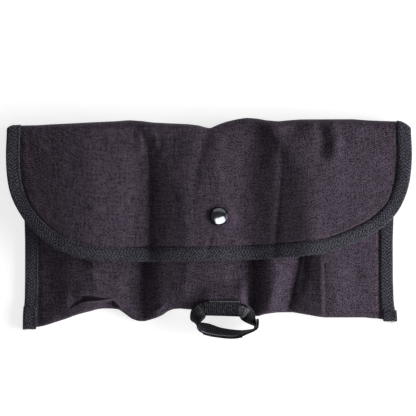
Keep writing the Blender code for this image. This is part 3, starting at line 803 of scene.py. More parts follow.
FRONT_CREASES = [
    ([(91.5, -20), (91.0, -40), (92.0, -60), (92.5, -76)], 0.6, 2.2),
    ([(53.0, -18), (55.5, -40), (50.0, -58), (47.0, -74)], 0.8, 3.6),
    ([(62.0, -44), (58.5, -56), (55.0, -68)], -0.7, 2.4),
    ([(80, -22), (77.0, -40), (74.0, -58)], -0.5, 2.6),
    ([(-100, -24), (-95, -38), (-88, -50)], 0.7, 5.0),
    ([(-70, -22), (-72, -36), (-76, -50)], 0.6, 3.5),
    ([(-18, -20), (-19, -44), (-22, -66)], 0.5, 4.0),
    ([(14, -24), (12, -44), (8, -56)], 0.6, 5.0),
    ([(-47.0, -71.0), (-41.0, -66.5), (-34.5, -63.5)], 1.4, 2.2),
    ([(-38.0, -72.0), (-37.0, -68.0), (-33.0, -65.0)], -1.2, 1.8),
    ([(-112, -52.5), (-98, -53.0), (-86, -55.0)], 0.7, 2.0),
]
FRONT_DENTS = [
    ((-128.0, -50.0), (9.0, 19.0), 1.3, 10.0),
    ((-128.0, -20.0), (9.0, 12.0), 0.8, 0.0),
    ((119.0, -38.0), (7.0, 9.0), 1.0, 0.0),
]
TUCK_LEFT, TUCK_RIGHT = -115, -79
TUCK_EDGE = [(-104.0, -60.8), (-95.4, -60.3), (-86.4, -59.6), (-78.5, -58.6), (-75.0, -61.4)]
TUCK_EDGE += [(-70.5, -67.5), (-63, -74)]


def flap_over(x, y):
    """Height that the flap leaves for the front panel under it."""
    free = np.maximum(edge_y(np.clip(x, -165, 165)) - y, 0.0)
    return flap_z(x, np.minimum(y, FOLD_Y)) - 2.6 + 0.9 * free


def front_z(x, y):
    """Height of the front panel's outer face."""
    x, y = np.broadcast_arrays(np.asarray(x, float), np.asarray(y, float))
    upper = smooth((20.0 - y) / 40.0)
    z = UPPER_FIELD(x) * (1 - upper) + FRONT_FIELD(x) * upper
    full = smooth((z - 3.4) / 5.0)
    low = y - BOTTOM_LINE(x)

    # three creased valleys
    edge = np.interp(y, [-80, -28, 0, 60], [-53.4, -53.8, -51.5, -49.0])
    z = z + notch(x - edge, 7.6, 27.0, 8.5) * (0.25 + 0.75 * upper)
    edge = np.interp(y, [-76, -28, 0, 60], [36.2, 35.9, 38.0, 44.0])
    z = z + notch(x - edge, 5.6, 21.0, 6.0) * (0.2 + 0.8 * upper)
    edge = np.interp(y, [-74, -69, -48, -28, 0, 40], [62.6, 64.2, 69.8, 73.6, 77.0, 80.0])
    z = z + notch(x - edge, 4.6, 9.0, 9.0) * upper
    z = z + relief(x, y, FRONT_CREASES, FRONT_DENTS)

    # divider seams pull narrow valleys
    z = z - 0.4 * np.exp(-((np.abs(x - DIVIDER_X) / 1.0) ** 1.4)) * smooth((-26.0 - y) / 4.0)

    # the bindings draw the cloth in along their inner edges
    z = z - 0.9 * np.exp(-(((np.abs(x) - BINDING_INNER_X) / 1.2) ** 2))

    # the pinched tuck at the lower left: a wedge that opens to the left above a bright lip
    ledge = np.interp(x, [-116, -108.4, -97, -86.4, -79], [-53.0, -55.2, -55.4, -57.0, -58.0])
    lip = np.interp(x, [-115, -103.5, -95.4, -86.4, -79.1], [-67.0, -60.6, -60.1, -59.2, -58.0])
    depth = np.interp(x, [-115, -104.0, -97, -86, -79], [0.0, 4.4, 3.4, 1.6, 0.0])
    inside = (x < TUCK_RIGHT) & (x > TUCK_LEFT)
    z = z - depth * smooth(ledge - y) * smooth((y - lip) / 1.3) * inside
    d, share, side = along(x, y, TUCK_EDGE)
    ends = smooth(np.minimum(share, 1.02 - share) / 0.12)
    z = z + 1.3 * np.exp(-((d / 1.1) ** 2)) * ends
    below = (side < 0) * smooth(d / 2.0) * np.exp(-((d / 15.0) ** 2)) * ends
    z = z - below * np.interp(share, [0.0, 0.3, 0.55, 0.75, 1.0], [0.0, 1.0, 4.6, 3.0, 0.0])

    # slack all over
    ripple = 0.22 * uneven(x, y, 15.0, 32.0, 11) + 0.13 * uneven(x, y + 0.3 * x, 8.0, 14.0, 12)
    z = z + ripple * (0.3 + 0.7 * full)

    # the strap's seam holds the cloth up
    held = smooth((21.0 - np.abs(x - STRAP_MIDDLE_X)) / 8.0)
    held = held * smooth((y + 69.0) / 6.0) * smooth((-40.0 - y) / 16.0)
    z = z + (STRAP_LEVEL - z) * held
    low = low + 26.0 * held

    # the panel comes down to the bottom fold
    floor_gap = 2.6
    share = np.clip(low / 20.0, 0.0, 1.0)
    z = floor_gap + (z - floor_gap) * (0.5 + 0.5 * np.sqrt(1 - (1 - share) ** 2))

    seat = smooth((17.0 - np.hypot(x - STUD[0], y - STUD[1])) / 8.0)
    z = z * (1 - seat) + FRONT_LEVEL * seat
    return np.maximum(under(z, flap_over(x, y)), 2.2)


def back_z(x, y):
    """Height of the back's outer face, which lies on the floor."""
    x, y = np.broadcast_arrays(np.asarray(x, float), np.asarray(y, float))
    z = 0.95 * smooth((np.abs(x) - 134.0) / 5.0)
    z = np.maximum(z, BACK_UNDER_TAIL * smooth((y - 64.0) / 6.0))
    ripple = 0.22 * np.abs(uneven(x, y, 22.0, 30.0, 21)) + 0.1 * np.abs(uneven(x, y, 9.0, 12.0, 22))
    clear = smooth((MOUTH_Y - y) / 8.0) * smooth((134.0 - np.abs(x)) / 10.0)
    return z + np.minimum(ripple, 0.7) * clear


def pouch_grid(xs, inset, front_rows, top_y=MOUTH_Y, back_y=76.5):
    """Points down the front, round the bottom and up the back, drawn in by inset."""
    x = np.asarray(xs, float)[None, :]
    bottom = BOTTOM_LINE(x) + inset * 1.3
    round_y = bottom + 3.2
    share = np.linspace(0.0, 1.0, front_rows)[:, None] ** 0.8
    y_front = top_y + (round_y - top_y) * share
    front = points(x, y_front, front_z(x, y_front) - inset)
    z_top, z_low = front_z(x, round_y) - inset, back_z(x, round_y) + inset
    middle, half = (z_top + z_low) / 2, (z_top - z_low) / 2
    turn = np.linspace(0.0, math.pi, 13)[1:-1, None]
    y_arc = round_y - (round_y - bottom) * np.sin(turn)
    arc = points(x, y_arc, middle + half * np.cos(turn))
    y_back = round_y + (back_y - round_y) * np.linspace(0.0, 1.0, 44)[:, None]
    back = points(x, y_back, back_z(x, y_back) + inset)
    return np.concatenate([front, arc, back])


def columns(half, coarse, crisp, fine):
    """X positions, closer together round each crisp line."""
    at, xs = -half, [-half]
    while at < half:
        near = min(abs(at - c) for c in crisp)
        at += fine if near < 7.0 else coarse
        xs.append(min(at, half))
    if xs[-1] - xs[-2] < fine / 2:
        del xs[-2]
    return np.array(xs)


# ---------------------------------------------------------------- the materials

CANVAS = plain_weave(
    "charcoal_canvas",
    dark=(0.008, 0.0052, 0.0095),
    light=(0.083, 0.063, 0.087),
    worn_and_highlighted=(0.15, 0.13, 0.165),
    yarn=0.75,
    sheen=0.012,
    roughness=0.62,
)
LINING = plain_weave(
    "dark_lining_cloth",
    dark=(0.006, 0.006, 0.007),
    light=(0.024, 0.023, 0.027),
    worn_and_highlighted=(0.05, 0.05, 0.055),
    yarn=0.42,
    sheen=0.05,
    roughness=0.48,
    depth=0.00006,
)
HERRING = twill_tape("herringbone_tape", (0.008, 0.0077, 0.0115), (0.074, 0.0715, 0.096))
WEB = ribbed_web("ribbed_webbing", (0.0005, 0.0005, 0.0008), (0.052, 0.050, 0.067))
# near-black webbing: painted shade for the parts of the strap that lie in shadow
WEB_PAINTED_SHADE = ribbed_web("webbing_painted_shade", (0.0008, 0.0008, 0.0012), (0.007, 0.0066, 0.009))
# pale yarn colour, partly a painted highlight along the webbing's edges
SELVEDGE_AND_HIGHLIGHT = thread_shader("selvedge_yarn_and_painted_highlight", (0.06, 0.06, 0.07), (0.24, 0.235, 0.26), 0.6)
THREAD = thread_shader("sewing_thread", (0.002, 0.002, 0.003), (0.012, 0.011, 0.015))
PILE = thread_shader("loop_pile_fibre", (0.05, 0.05, 0.06), (0.50, 0.48, 0.55), 0.75)
BRISTLE = thread_shader("hook_bristle", (0.20, 0.20, 0.21), (0.55, 0.55, 0.57), 0.4)
METAL = polished_metal("gunmetal_polish")


# ---------------------------------------------------------------- build: flap


def on_flap(obj, slot, *nodes):
    """A piece of the flap's cloth that runs over the fold, left in the world frame with no body, that stands
    for the CAD nodes named.
    """
    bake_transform(obj)
    if nodes:
        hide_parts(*nodes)


def on_body(obj, body, slot, *nodes):
    """A piece that moves with one body and stands for the CAD nodes named."""
    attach(obj, body)
    if nodes:
        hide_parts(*nodes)


def flap_grid(half, inset, lift, rows, tail, coarse, fine):
    """Grid of the flap's cloth, inset from its free edge and moved off the outer face by lift."""
    straight = half - 14.0
    xs = columns(straight, coarse, (-49.0, 56.0, 46.0, -46.0), fine)
    ends = straight + (half - straight) * np.sin(np.linspace(0, math.pi / 2, 15))[1:]
    xs = np.concatenate([-ends[::-1], xs, ends])
    low = edge_y(xs) + inset
    share = np.linspace(0.0, 1.0, rows)[:, None]
    q = low + (FOLD_Y - low) * share
    over = np.linspace(0.0, FOLD_RUN, 19)[1:]
    past = np.concatenate([over, FOLD_RUN + np.linspace(0.0, tail, 5)[1:]])
    q = np.concatenate([q, np.repeat(FOLD_Y + past[:, None], len(xs), axis=1)])
    p, n = flap_frame(np.broadcast_to(xs, q.shape), q)
    return p + n * lift


def build_flap():
    grid = flap_grid(FLAP_SIDE_X - 0.9, 0.9, 0.0, 104, TAIL_RUN, 1.5, 0.75)
    outer = cloth("flap_cloth", grid, CLOTH, CANVAS)
    on_flap(outer, "charcoal_cloth", "flap_outer", "flap_fold")

    grid = flap_grid(FLAP_SIDE_X - 1.4, 1.4, -CLOTH - 0.12, 56, 2.0, 3.0, 1.5)
    inner = cloth("flap_backing", grid, BACKING, LINING)
    on_flap(inner, "dark_lining", "flap_lining")


def binding_path():
    """(x, q, inward dx, inward dq) along the bound edge, from one tail round to the other."""
    run = OUTLINE[OUTLINE[:, 1] < FOLD_Y]
    rise = np.arange(FOLD_Y + FOLD_RUN + TAIL_RUN, FOLD_Y, -1.0)
    left = np.stack([np.full(len(rise), run[0, 0]), rise], axis=1)
    right = np.stack([np.full(len(rise), run[-1, 0]), rise[::-1]], axis=1)
    path = np.concatenate([left, run, right])
    ahead = unit(np.gradient(path, axis=0))
    inward = np.stack([-ahead[:, 1], ahead[:, 0]], axis=1)
    return path, unit(even_out(inward, 3))


def build_flap_tape():
    path, inward = binding_path()

    def lines(w, lift):
        at = path + inward * w
        p, n = flap_frame(at[:, 0], at[:, 1])
        return p + n * lift

    # (distance in from the free edge, height off the cloth's outer face)
    lip, under_side = TAPE_WIDTH - 0.3, -FLAP_STACK
    over = [(0.9, TAPE * 0.97), (2.2, TAPE * 1.15), (4.5, TAPE * 1.2), (7.2, TAPE * 1.15), (8.8, TAPE)]
    over += [(9.5, TAPE * 0.8), (10.3, TAPE * 1.35), (TAPE_WIDTH - 0.15, TAPE * 1.3)]
    over += [(TAPE_WIDTH, TAPE), (TAPE_WIDTH, -0.1)]
    inside = [(0.75, 0.04), (0.75, under_side + 0.1), (lip, under_side + 0.1)]
    below = [(lip, under_side - TAPE * 0.8), (9.4, under_side - TAPE * 0.8), (5.0, under_side - TAPE)]
    below += [(1.0, under_side - TAPE * 0.9), (0.25, under_side - TAPE * 0.45)]
    rim = [(-0.05, under_side * 0.75), (-0.12, under_side * 0.45), (0.0, -0.1), (0.3, TAPE * 0.6)]
    puff = 0.08 * uneven(np.arange(len(path)), np.zeros(len(path)), 7.0, 1.0, 31)[:, None]
    rings = []
    for w, lift in over + inside + below + rim:
        wave = puff if 0.5 < w < 9.0 and lift > 0.2 else 0.0
        rings.append(lines(w, lift) + np.array([0.0, 0.0, 1.0]) * wave)
    sections = np.stack(rings, axis=1)
    tape = sleeve("flap_tape", sections, HERRING)
    on_flap(tape, "binding_tape", "flap_binding")

    seam_in = 9.55
    at = path + inward * seam_in
    p, n = flap_frame(at[:, 0], at[:, 1])
    top = (p + n * TAPE * 0.84, n)
    bottom = (p - n * (FLAP_STACK + TAPE * 0.78), -n)
    seam = stitches("flap_tape_stitching", [top, bottom], THREAD, radius=0.3, lift=0.12, wander=0.05)
    on_flap(seam, "thread")


# ---------------------------------------------------------------- build: pouch


def build_pouch():
    xs = columns(CLOTH_SIDE_X, 1.5, (-53.5, 36.5, 71.0, -107.0, -95.0, 95.2, -80.0), 0.75)
    grid = pouch_grid(xs, 0.0, 140)[:, ::-1]
    outer = cloth("pouch_cloth", grid, CLOTH, CANVAS)
    on_body(outer, "pouch", "charcoal_cloth", "front_panel", "back_panel")

    xs = columns(CLOTH_SIDE_X - 3.0, 3.2, (-53.5, 36.5, 71.0), 1.6)
    grid = pouch_grid(xs, 0.95, 70, MOUTH_Y - 0.4, 75.5)[:, ::-1]
    inner = cloth("pouch_lining", grid, BACKING, LINING)
    on_body(inner, "pouch", "dark_lining", "front_lining", "back_lining")


def pocket_z(x, y):
    """Outer face of the slip pocket, which hangs behind the front's lining between its seams."""
    middle = (POCKET_SIDE_X + DIVIDER_X) / 2
    side = (np.abs(x) - middle) / (POCKET_SIDE_X - middle)
    across = np.where(np.abs(x) < DIVIDER_X, x / DIVIDER_X, side)
    belly = (1.0 - np.abs(across) ** 4) * smooth((front_z(x, y) - 5.0) / 6.0)
    start = smooth((y - BOTTOM_LINE(x) - POCKET_LIFT) / 10.0)
    return front_z(x, y) - 1.75 - 3.4 * belly * start


def build_pocket():
    xs = columns(POCKET_SIDE_X, 2.2, (-95.2, 95.2), 1.2)
    low = BOTTOM_LINE(xs) + POCKET_LIFT
    y = low + (POCKET_TOP_Y - low) * np.linspace(0.0, 1.0, 30)[:, None]
    pocket = cloth("slip_pocket", points(xs, y, pocket_z(xs, y)), BACKING, LINING)
    on_body(pocket, "pouch", "dark_lining", "pocket_panel")
    build_hem("slip_pocket_hem", xs[1:-1], POCKET_TOP_Y, pocket_z, BACKING, 6.0, "pocket_tape")


def build_hem(name, xs, edge, surface, thick, width, node):
    """Tape folded over an upper edge that runs along X, with its stitches."""
    outline = [(-width, 0.03), (-0.6, 0.03), (-0.6, -thick - 0.03), (-width, -thick - 0.03)]
    outline += [(-width, -thick - 0.33), (-1.0, -thick - 0.4), (-0.25, -thick - 0.2), (0.0, -thick / 2)]
    outline += [(-0.25, 0.25), (-1.0, 0.45), (-width / 2, 0.46), (-width, 0.36)]
    rings = []
    for dy, dz in outline:
        y = edge + 0.9 + dy
        rings.append(points(xs, y, surface(xs, min(y, edge)) + dz))
    sections = np.stack(rings, axis=1)
    tape = sleeve(name, sections, HERRING)
    on_body(tape, "pouch", "binding_tape", node)
    y = edge + 2.1 - width
    top = stitch_row(xs, y, surface(xs, y) + 0.36)
    low = stitch_row(xs, y, surface(xs, y) - thick - 0.36, -1.0)
    seam = stitches(name + "_stitching", [top, low], THREAD)
    on_body(seam, "pouch", "thread")


# X of the bag's side edges along Y: -1 is the left, 1 the right
SIDE_LINE = {
    -1: table(
        [(-86, -152.4), (-70, -152.3), (-60, -151.2), (-40, -150.9), (-10, -150.9)]
        + [(5, -151.4), (70, -151.6)],
        soften=4.0,
    ),
    1: table(
        [(-86, 153.4), (-70, 153.2), (-62, 151.6), (-40, 150.9), (-10, 150.8)]
        + [(5, 151.4), (70, 151.6)],
        soften=3.0,
    ),
}


def edge_z(x, y):
    """Height of the front, held at its side edge where x is past it."""
    return front_z(np.clip(x, -CLOTH_SIDE_X, CLOTH_SIDE_X), y)


def tape_sections(side, y, grow, inner, shift):
    """U-shaped sections of the side binding at each y, inner wide and raised by grow."""
    outer_x = SIDE_LINE[side](y) + side * shift
    wave = 0.12 * uneven(y, side * 3.0, 6.0, 2.0, 41)

    def top(w):
        return edge_z(outer_x - side * w, y)

    outline = [(inner, top(inner) - 0.1), (inner, top(inner) + TAPE + grow)]
    outline += [(inner - 0.5, top(inner - 0.5) + 0.75 + grow)]
    outline += [(inner - 1.3, top(inner - 1.3) + TAPE * 0.8 + grow)]
    outline += [(w, top(w) + TAPE * 1.1 + grow + wave) for w in (inner - 2.2, inner * 0.6, inner * 0.3, 1.4)]
    outline += [(0.4, top(0.8) + TAPE * 0.4 + grow), (0.0, top(0.8) * 0.62), (0.0, top(0.8) * 0.38)]
    outline += [(0.35, 0.12), (1.4, 0.0), (inner * 0.6, 0.0)]
    outline += [(inner - 0.5, 0.02), (inner - 0.5, 0.55), (0.9, 0.7), (0.9, top(0.9) + 0.03)]
    return np.stack([points(outer_x - side * w, y, z) for w, z in outline], axis=1)


def build_side_tape(side, name, end_top, node):
    """The side binding from mouth to bottom, its turned-back end, its stitches and cut yarns."""
    low = float(BOTTOM_LINE(side * 150.0)) - 0.4
    ys = np.concatenate([np.arange(MOUTH_Y, low + 1.0, -2.0), [low]])
    tape = sleeve(name, tape_sections(side, ys, 0.0, 10.5, 0.0), HERRING)
    on_body(tape, "pouch", "binding_tape", node)

    # the raw end is turned back over itself and sewn down
    shift = 0.5 if side < 0 else 1.2
    ys = np.linspace(low - 0.5, end_top, 12)
    bulge = 0.75 + 0.25 * np.sin(np.linspace(0, 5, 12))
    doubled = sleeve(name + "_end", tape_sections(side, ys, bulge, 11.2, shift), HERRING)
    on_body(doubled, "pouch", "binding_tape")

    y = np.arange(MOUTH_Y - 1.0, end_top + 0.5, -1.0)
    x = SIDE_LINE[side](y) - side * 9.3
    seams = [stitch_row(x, y, front_z(x, y) + TAPE * 1.05), stitch_row(x, y, 0.0, -1.0)]
    w = np.linspace(1.6, 9.8, 9)
    for y in (end_top - 1.2, low + 4.0):
        x = SIDE_LINE[side](y) + side * (shift - w)
        seams.append(stitch_row(x, y, edge_z(x, y) + TAPE + 0.98))
    y = np.linspace(end_top - 1.0, low + 2.0, 7)
    for w in (2.0, 9.6):
        x = SIDE_LINE[side](y) + side * (shift - w)
        seams.append(stitch_row(x, y, edge_z(x, y) + TAPE + 0.95))
    seam = stitches(name + "_stitching", seams, THREAD, wander=0.05, seed=7 + side)
    on_body(seam, "pouch", "thread")

    # cut yarns at the raw end
    rng = np.random.default_rng(60 + side)
    runs = []
    for _ in range(9):
        x0 = float(SIDE_LINE[side](low)) + side * (shift - rng.uniform(0.6, 10.0))
        start = np.array([x0, low - 0.2, rng.uniform(0.8, 3.4)])
        drift = np.array([rng.normal(0, 0.35), -rng.uniform(0.35, 0.8), rng.normal(-0.1, 0.12)])
        curl = np.array([rng.normal(0, 0.18), 0.05, -0.05])
        run = np.array([start + drift * t + curl * t * t for t in np.arange(4.0)])
        run[:, 2] = np.maximum(run[:, 2], 0.15)
        runs.append(run)
    ends = fibres(name + "_yarn_ends", runs, 0.13, THREAD)
    on_body(ends, "pouch", "thread")


def build_divider_seams():
    """The seams that part the slip pocket, each with a bar tack at its top."""
    seams = []
    for side, end in ((1, -73.0), (-1, -56.0)):
        y = np.arange(POCKET_TOP_Y - 4.5, end, -1.0)
        x = side * DIVIDER_X
        seams.append(stitch_row(x, y, front_z(x, y) + 0.02))
        seams.append(stitch_row(x, y, pocket_z(x, y) - BACKING, -1.0))
    seam = stitches("divider_stitching", seams, THREAD, pitch=2.2, radius=0.2)
    on_body(seam, "pouch", "thread")

    for side, hand in ((1, "right"), (-1, "left")):
        rungs = []
        for k in range(9):
            y = POCKET_TOP_Y - 2.0 - k * 0.38
            x = side * DIVIDER_X + np.array([-0.75, 0.0, 0.75])
            rungs.append(stitch_row(x, y, front_z(x, y) + 0.35))
        tack = stitches(f"divider_tack_{hand}", rungs, THREAD, pitch=1.5, fill=1.0, lift=0.1)
        on_body(tack, "pouch", "thread", f"bar_tack_{hand}")


def build_back_seam():
    """Two rows of stitches where the flap's tail is sewn over the back."""
    seams = []
    for q in (FOLD_Y + FOLD_RUN + TAIL_RUN - 1.6, FOLD_Y + FOLD_RUN + 2.4):
        x = np.arange(-150.0, 150.1, 1.5)
        seams.append(flap_frame(x, np.full(len(x), q)))
    seam = stitches("back_seam_stitching", seams, THREAD, lift=-0.12)
    on_body(seam, "pouch", "thread")


# ---------------------------------------------------------------- build: press stud


def build_press_stud():
    """Cap and socket on the flap, stud and post on the front, with their patches."""
    rim = STUD_LEVEL + 0.15
    top = rim + DOME_RISE
    dome = [(0.0, top)]
    for k in range(1, 25):
        a = k / 24 * math.asin(CAP_RADIUS / DOME_RADIUS)
        dome.append((DOME_RADIUS * math.sin(a), top - DOME_RADIUS * (1 - math.cos(a))))
    roll = [(7.3, rim + 0.95), (7.46, rim + 0.7), (7.5, rim + 0.4), (7.44, rim + 0.15), (7.2, rim)]
    shank = [(1.9, rim), (1.9, rim - 3.0), (0.0, rim - 3.0)]
    cap = turned("snap_dome", dome + roll + shank, METAL, sides=96)
    on_body(cap, "flap", "gunmetal", "snap_cap")

    low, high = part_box("snap_socket")
    z0, z1 = low.z / MM, high.z / MM
    socket = [(3.8, z0), (4.9, z0), (5.5, z0 + 0.25), (6.1, z0 + 0.9), (6.2, z1 - 0.5), (6.1, z1), (2.1, z1)]
    socket += [(2.1, z1 - 0.35), (3.7, z1 - 0.35), (3.75, z0 + 1.2), (3.55, z0 + 0.6), (3.8, z0)]
    on_body(turned("snap_socket_shell", socket, METAL), "flap", "gunmetal", "snap_socket")

    low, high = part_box("snap_stud")
    z0, z1 = low.z / MM, high.z / MM
    stud = [(2.0, z0), (6.0, z0), (6.2, z0 + 0.2), (5.9, z0 + 0.55), (5.0, z0 + 0.8), (2.9, z0 + 0.85)]
    stud += [(2.75, z0 + 1.3), (3.2, z1 - 1.2), (3.3, z1 - 0.8), (3.1, z1 - 0.3), (2.7, z1)]
    stud += [(2.0, z1), (2.0, z0)]
    on_body(turned("snap_stud_post", stud, METAL), "pouch", "gunmetal", "snap_stud")

    low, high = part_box("snap_post")
    z0, z1 = low.z / MM, high.z / MM
    post = [(0.0, z0), (5.8, z0), (6.2, z0 + 0.2), (5.9, z0 + 0.4), (1.9, z0 + 0.4), (1.9, z1 - 0.3)]
    post += [(1.5, z1), (0.0, z1)]
    on_body(turned("snap_back_post", post, METAL), "pouch", "gunmetal", "snap_post")

    seam_radius = 9.6
    for name, node, body in (
        ("flap_stud_patch", "flap_snap_patch", "flap"),
        ("front_stud_patch", "front_snap_patch", "pouch"),
    ):
        low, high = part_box(node)
        z0, z1 = low.z / MM, high.z / MM
        disc = [(2.3, z0), (8.0, z0 - 0.03), (10.6, z0), (11.0, (z0 + z1) / 2), (10.6, z1), (2.3, z1)]
        disc += disc[:1]
        on_body(turned(name, disc, LINING, sides=48), body, "dark_lining", node)
        turns = np.linspace(0, 2 * math.pi, 49)
        x, y = STUD[0] + seam_radius * np.cos(turns), STUD[1] + seam_radius * np.sin(turns)
        seam = stitches(name + "_stitching", [stitch_row(x, y, z0, -1.0)], THREAD, pitch=2.4)
        on_body(seam, body, "thread")


# ---------------------------------------------------------------- build: strap

# Rows are (centre, direction of the webbing's edge); LEAN is how it lies on the front.
LEAN = (0.0, -0.893, -0.451)

LONG_LIMB = [
    ((26.0, -66.8, 13.7), LEAN),
    ((0.0, -66.0, 13.8), LEAN),
    ((-5.0, -66.6, 13.5), (0.05, -0.9, -0.44)),
    ((-9.6, -71.2, 13.4), (0.5, -0.85, 0.15)),
    ((-11.6, -76.2, 11.6), (0.55, -0.15, 0.82)),
    ((-8.2, -80.4, 9.8), (-0.1, -0.45, 0.88)),
    ((-1.0, -82.8, 8.8), (-0.3, -0.62, 0.74)),
    ((9.0, -85.3, 8.4), (-0.1, -0.54, 0.84)),
    ((19.5, -86.5, 8.6), (0.0, -0.46, 0.89)),
    ((27.5, -86.2, 9.2), (0.05, -0.3, 0.95)),
]
STRAP_END = [
    ((27.5, -86.2, 9.2), (0.05, -0.3, 0.95)),
    ((33.4, -84.45, 9.8), (0.05, -0.12, 0.99)),
    ((36.8, -83.2, 10.0), (0.04, -0.05, 0.99)),
    ((39.3, -81.4, 10.2), (0.0, 0.0, 1.0)),
    ((40.0, -78.2, 10.3), (0.0, 0.0, 1.0)),
    ((39.9, -74.4, 10.4), (0.0, 0.0, 1.0)),
]
SHORT_LIMB = [
    ((37.3, -81.7, 10.1), (0.0, 0.0, 1.0)),
    ((37.5, -80.2, 10.2), (0.0, 0.0, 1.0)),
    ((37.4, -77.6, 10.8), (-0.1, 0.0, 1.0)),
    ((35.6, -74.6, 12.4), (-0.5, -0.3, 0.8)),
    ((32.2, -71.4, 14.0), (-0.5, -0.8, 0.3)),
    ((28.4, -68.4, 13.8), (-0.15, -0.93, -0.3)),
    ((25.0, -66.9, 12.9), LEAN),
    ((21.5, -66.2, 12.3), LEAN),
]


def web_frames(stations, pitch=0.4):
    """Centres, edge directions and outer normals at an even pitch along stations."""
    rows = spline([centre + edge for centre, edge in stations], 24)
    rows = resample(rows, pitch)
    centre, edge = rows[:, :3], unit(rows[:, 3:])
    ahead = unit(np.gradient(centre, axis=0))
    edge = unit(edge - ahead * (edge * ahead).sum(axis=1, keepdims=True))
    return centre, edge, unit(np.cross(ahead, edge))


def ribbon(
    name,
    stations,
    mat,
    width=WEB_WIDTH,
    thick=WEB_THICK,
    offset=0.0,
    rib=0.13,
    first=0.0,
    share=(0.0, 1.0),
):
    """Webbing over a share of its run, with ribs across it, rounded selvedges and a raised cord."""
    centre, edge, out = web_frames(stations)
    run = arc_length(centre)
    keep = (run >= share[0] * run[-1] - 1e-6) & (run <= share[1] * run[-1] + 1e-6)
    centre, edge, out, run = centre[keep], edge[keep], out[keep], run[keep]
    swell = rib * (0.5 + 0.5 * np.cos((run + first) * 2 * math.pi / RIB_PITCH))
    half = thick / 2 - rib + swell
    outline = [(-1.0, 0.0), (-0.97, 0.55), (-0.9, 0.92), (-0.8, 1.0), (-0.4, 1.0), (0.0, 1.0), (0.4, 1.0)]
    outline += [(0.66, 0.95), (0.71, 1.5), (0.76, 0.95), (0.9, 0.92), (0.97, 0.55), (1.0, 0.0)]
    outline += [(a, -b) for a, b in reversed(outline[1:-1])]
    rings = []
    for a, b in outline:
        rings.append(centre + edge * (a * width / 2) + out * (offset + b * half)[:, None])
    return sleeve(name, np.stack(rings, axis=1), mat)


def build_strap():
    """Two limbs that close a ring, the free end that peels off, and the strap's seam."""
    long_limb = ribbon("strap_webbing", LONG_LIMB, WEB)
    on_body(long_limb, "strap", "webbing", "strap_base", "strap_long_limb")
    # a second ply on the far part of the long limb, coloured near black as painted shade
    shade_ply = ribbon(
        "strap_outer_ply_painted_shade", LONG_LIMB, WEB_PAINTED_SHADE, width=12.2, thick=1.1, offset=1.25, share=(0.62, 1.0)
    )
    on_body(shade_ply, "strap", "webbing")
    build_selvedge()
    short_limb = ribbon("strap_short_webbing", SHORT_LIMB, WEB, first=0.5)
    on_body(short_limb, "strap", "webbing", "strap_short_limb")
    end = ribbon("strap_end_webbing", STRAP_END, WEB, first=0.9)
    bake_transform(end)
    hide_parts("strap_tab")

    build_loop_pile()
    build_hooks()
    build_strap_anchor()


def build_selvedge():
    """The yarn that edges the long limb, on the side that shows inside the ring, pale partly as a painted
    highlight.
    """
    centre, edge, out = web_frames(LONG_LIMB, 0.8)
    run = centre + edge * (0.40 * WEB_WIDTH) - out * (WEB_THICK / 2 + 0.05)
    inner = run[int(0.60 * len(run)) : int(0.97 * len(run))]
    turn = np.arange(8) * math.pi / 4
    ahead = unit(np.gradient(inner, axis=0))
    side = unit(np.cross(ahead, facing(1)))
    other = np.cross(ahead, side)
    rings = [inner + side * (0.42 * math.cos(a)) + other * (0.3 * math.sin(a)) for a in turn]
    yarn = sleeve("strap_selvedge", np.stack(rings, axis=1), SELVEDGE_AND_HIGHLIGHT)
    on_body(yarn, "strap", "webbing")


def build_strap_anchor():
    """The webbing's upper edge: a narrow lip, pale partly as a painted highlight, sewn to the front with a
    row on each side.
    """
    xs = np.arange(0.2, 25.01, 0.4)
    outline = [(-0.62, 0.0), (-0.58, 0.8), (-0.4, 1.05), (0.3, 1.0), (0.55, 0.7), (0.6, 0.0)]
    sections = []
    for x in xs:
        base = float(front_z(x, LIP_Y)) + 0.25
        swell = 0.12 * math.cos(x * 2 * math.pi / RIB_PITCH)
        sections.append([(x, LIP_Y + dy, base + dz * (1.0 + swell)) for dy, dz in outline])
    lip = sleeve("strap_sewn_edge", sections, SELVEDGE_AND_HIGHLIGHT)
    on_body(lip, "pouch", "webbing", "strap_seam")
    x = np.arange(0.0, 25.3, 1.0)
    rows = []
    for y, lift in ((LIP_Y + 1.2, 0.3), (LIP_Y - 1.15, 1.15)):
        rows.append(stitch_row(x, y, front_z(x, y) + lift))
    seam = stitches("strap_sewn_edge_stitching", rows, THREAD, pitch=1.7, fill=0.98, radius=0.5)
    on_body(seam, "pouch", "thread")


def build_loop_pile():
    """Brushed loops on the outer side of the short limb, on a near-black pad that is painted shade."""
    # the pad's near-black colour is painted shade
    pad = ribbon(
        "loop_pad", SHORT_LIMB, WEB_PAINTED_SHADE, width=9.5, thick=0.4, offset=0.85, rib=0.0, share=(0.08, 0.88)
    )
    on_body(pad, "strap", "loop_pile", "loop_patch")
    centre, edge, out = web_frames(SHORT_LIMB, 0.25)
    rng = np.random.default_rng(17)
    runs = []
    for _ in range(900):
        i = int(len(centre) * (0.89 - 0.30 * rng.random() ** 1.3))
        foot = centre[i] + edge[i] * rng.uniform(-4.6, 4.6) + out[i] * 1.0
        lean = unit(rng.normal(size=3) + out[i] * 1.3)
        bow = unit(np.cross(lean, rng.normal(size=3)))
        size = rng.uniform(0.5, 1.0)
        bends = (0, 0.9, 1.8, 2.6)
        runs.append([foot + lean * size * math.sin(t) + bow * size * 0.5 * (1 - math.cos(t)) for t in bends])
    pile = fibres("loop_fuzz", runs, 0.10, PILE, sides=4)
    on_body(pile, "strap", "loop_pile")


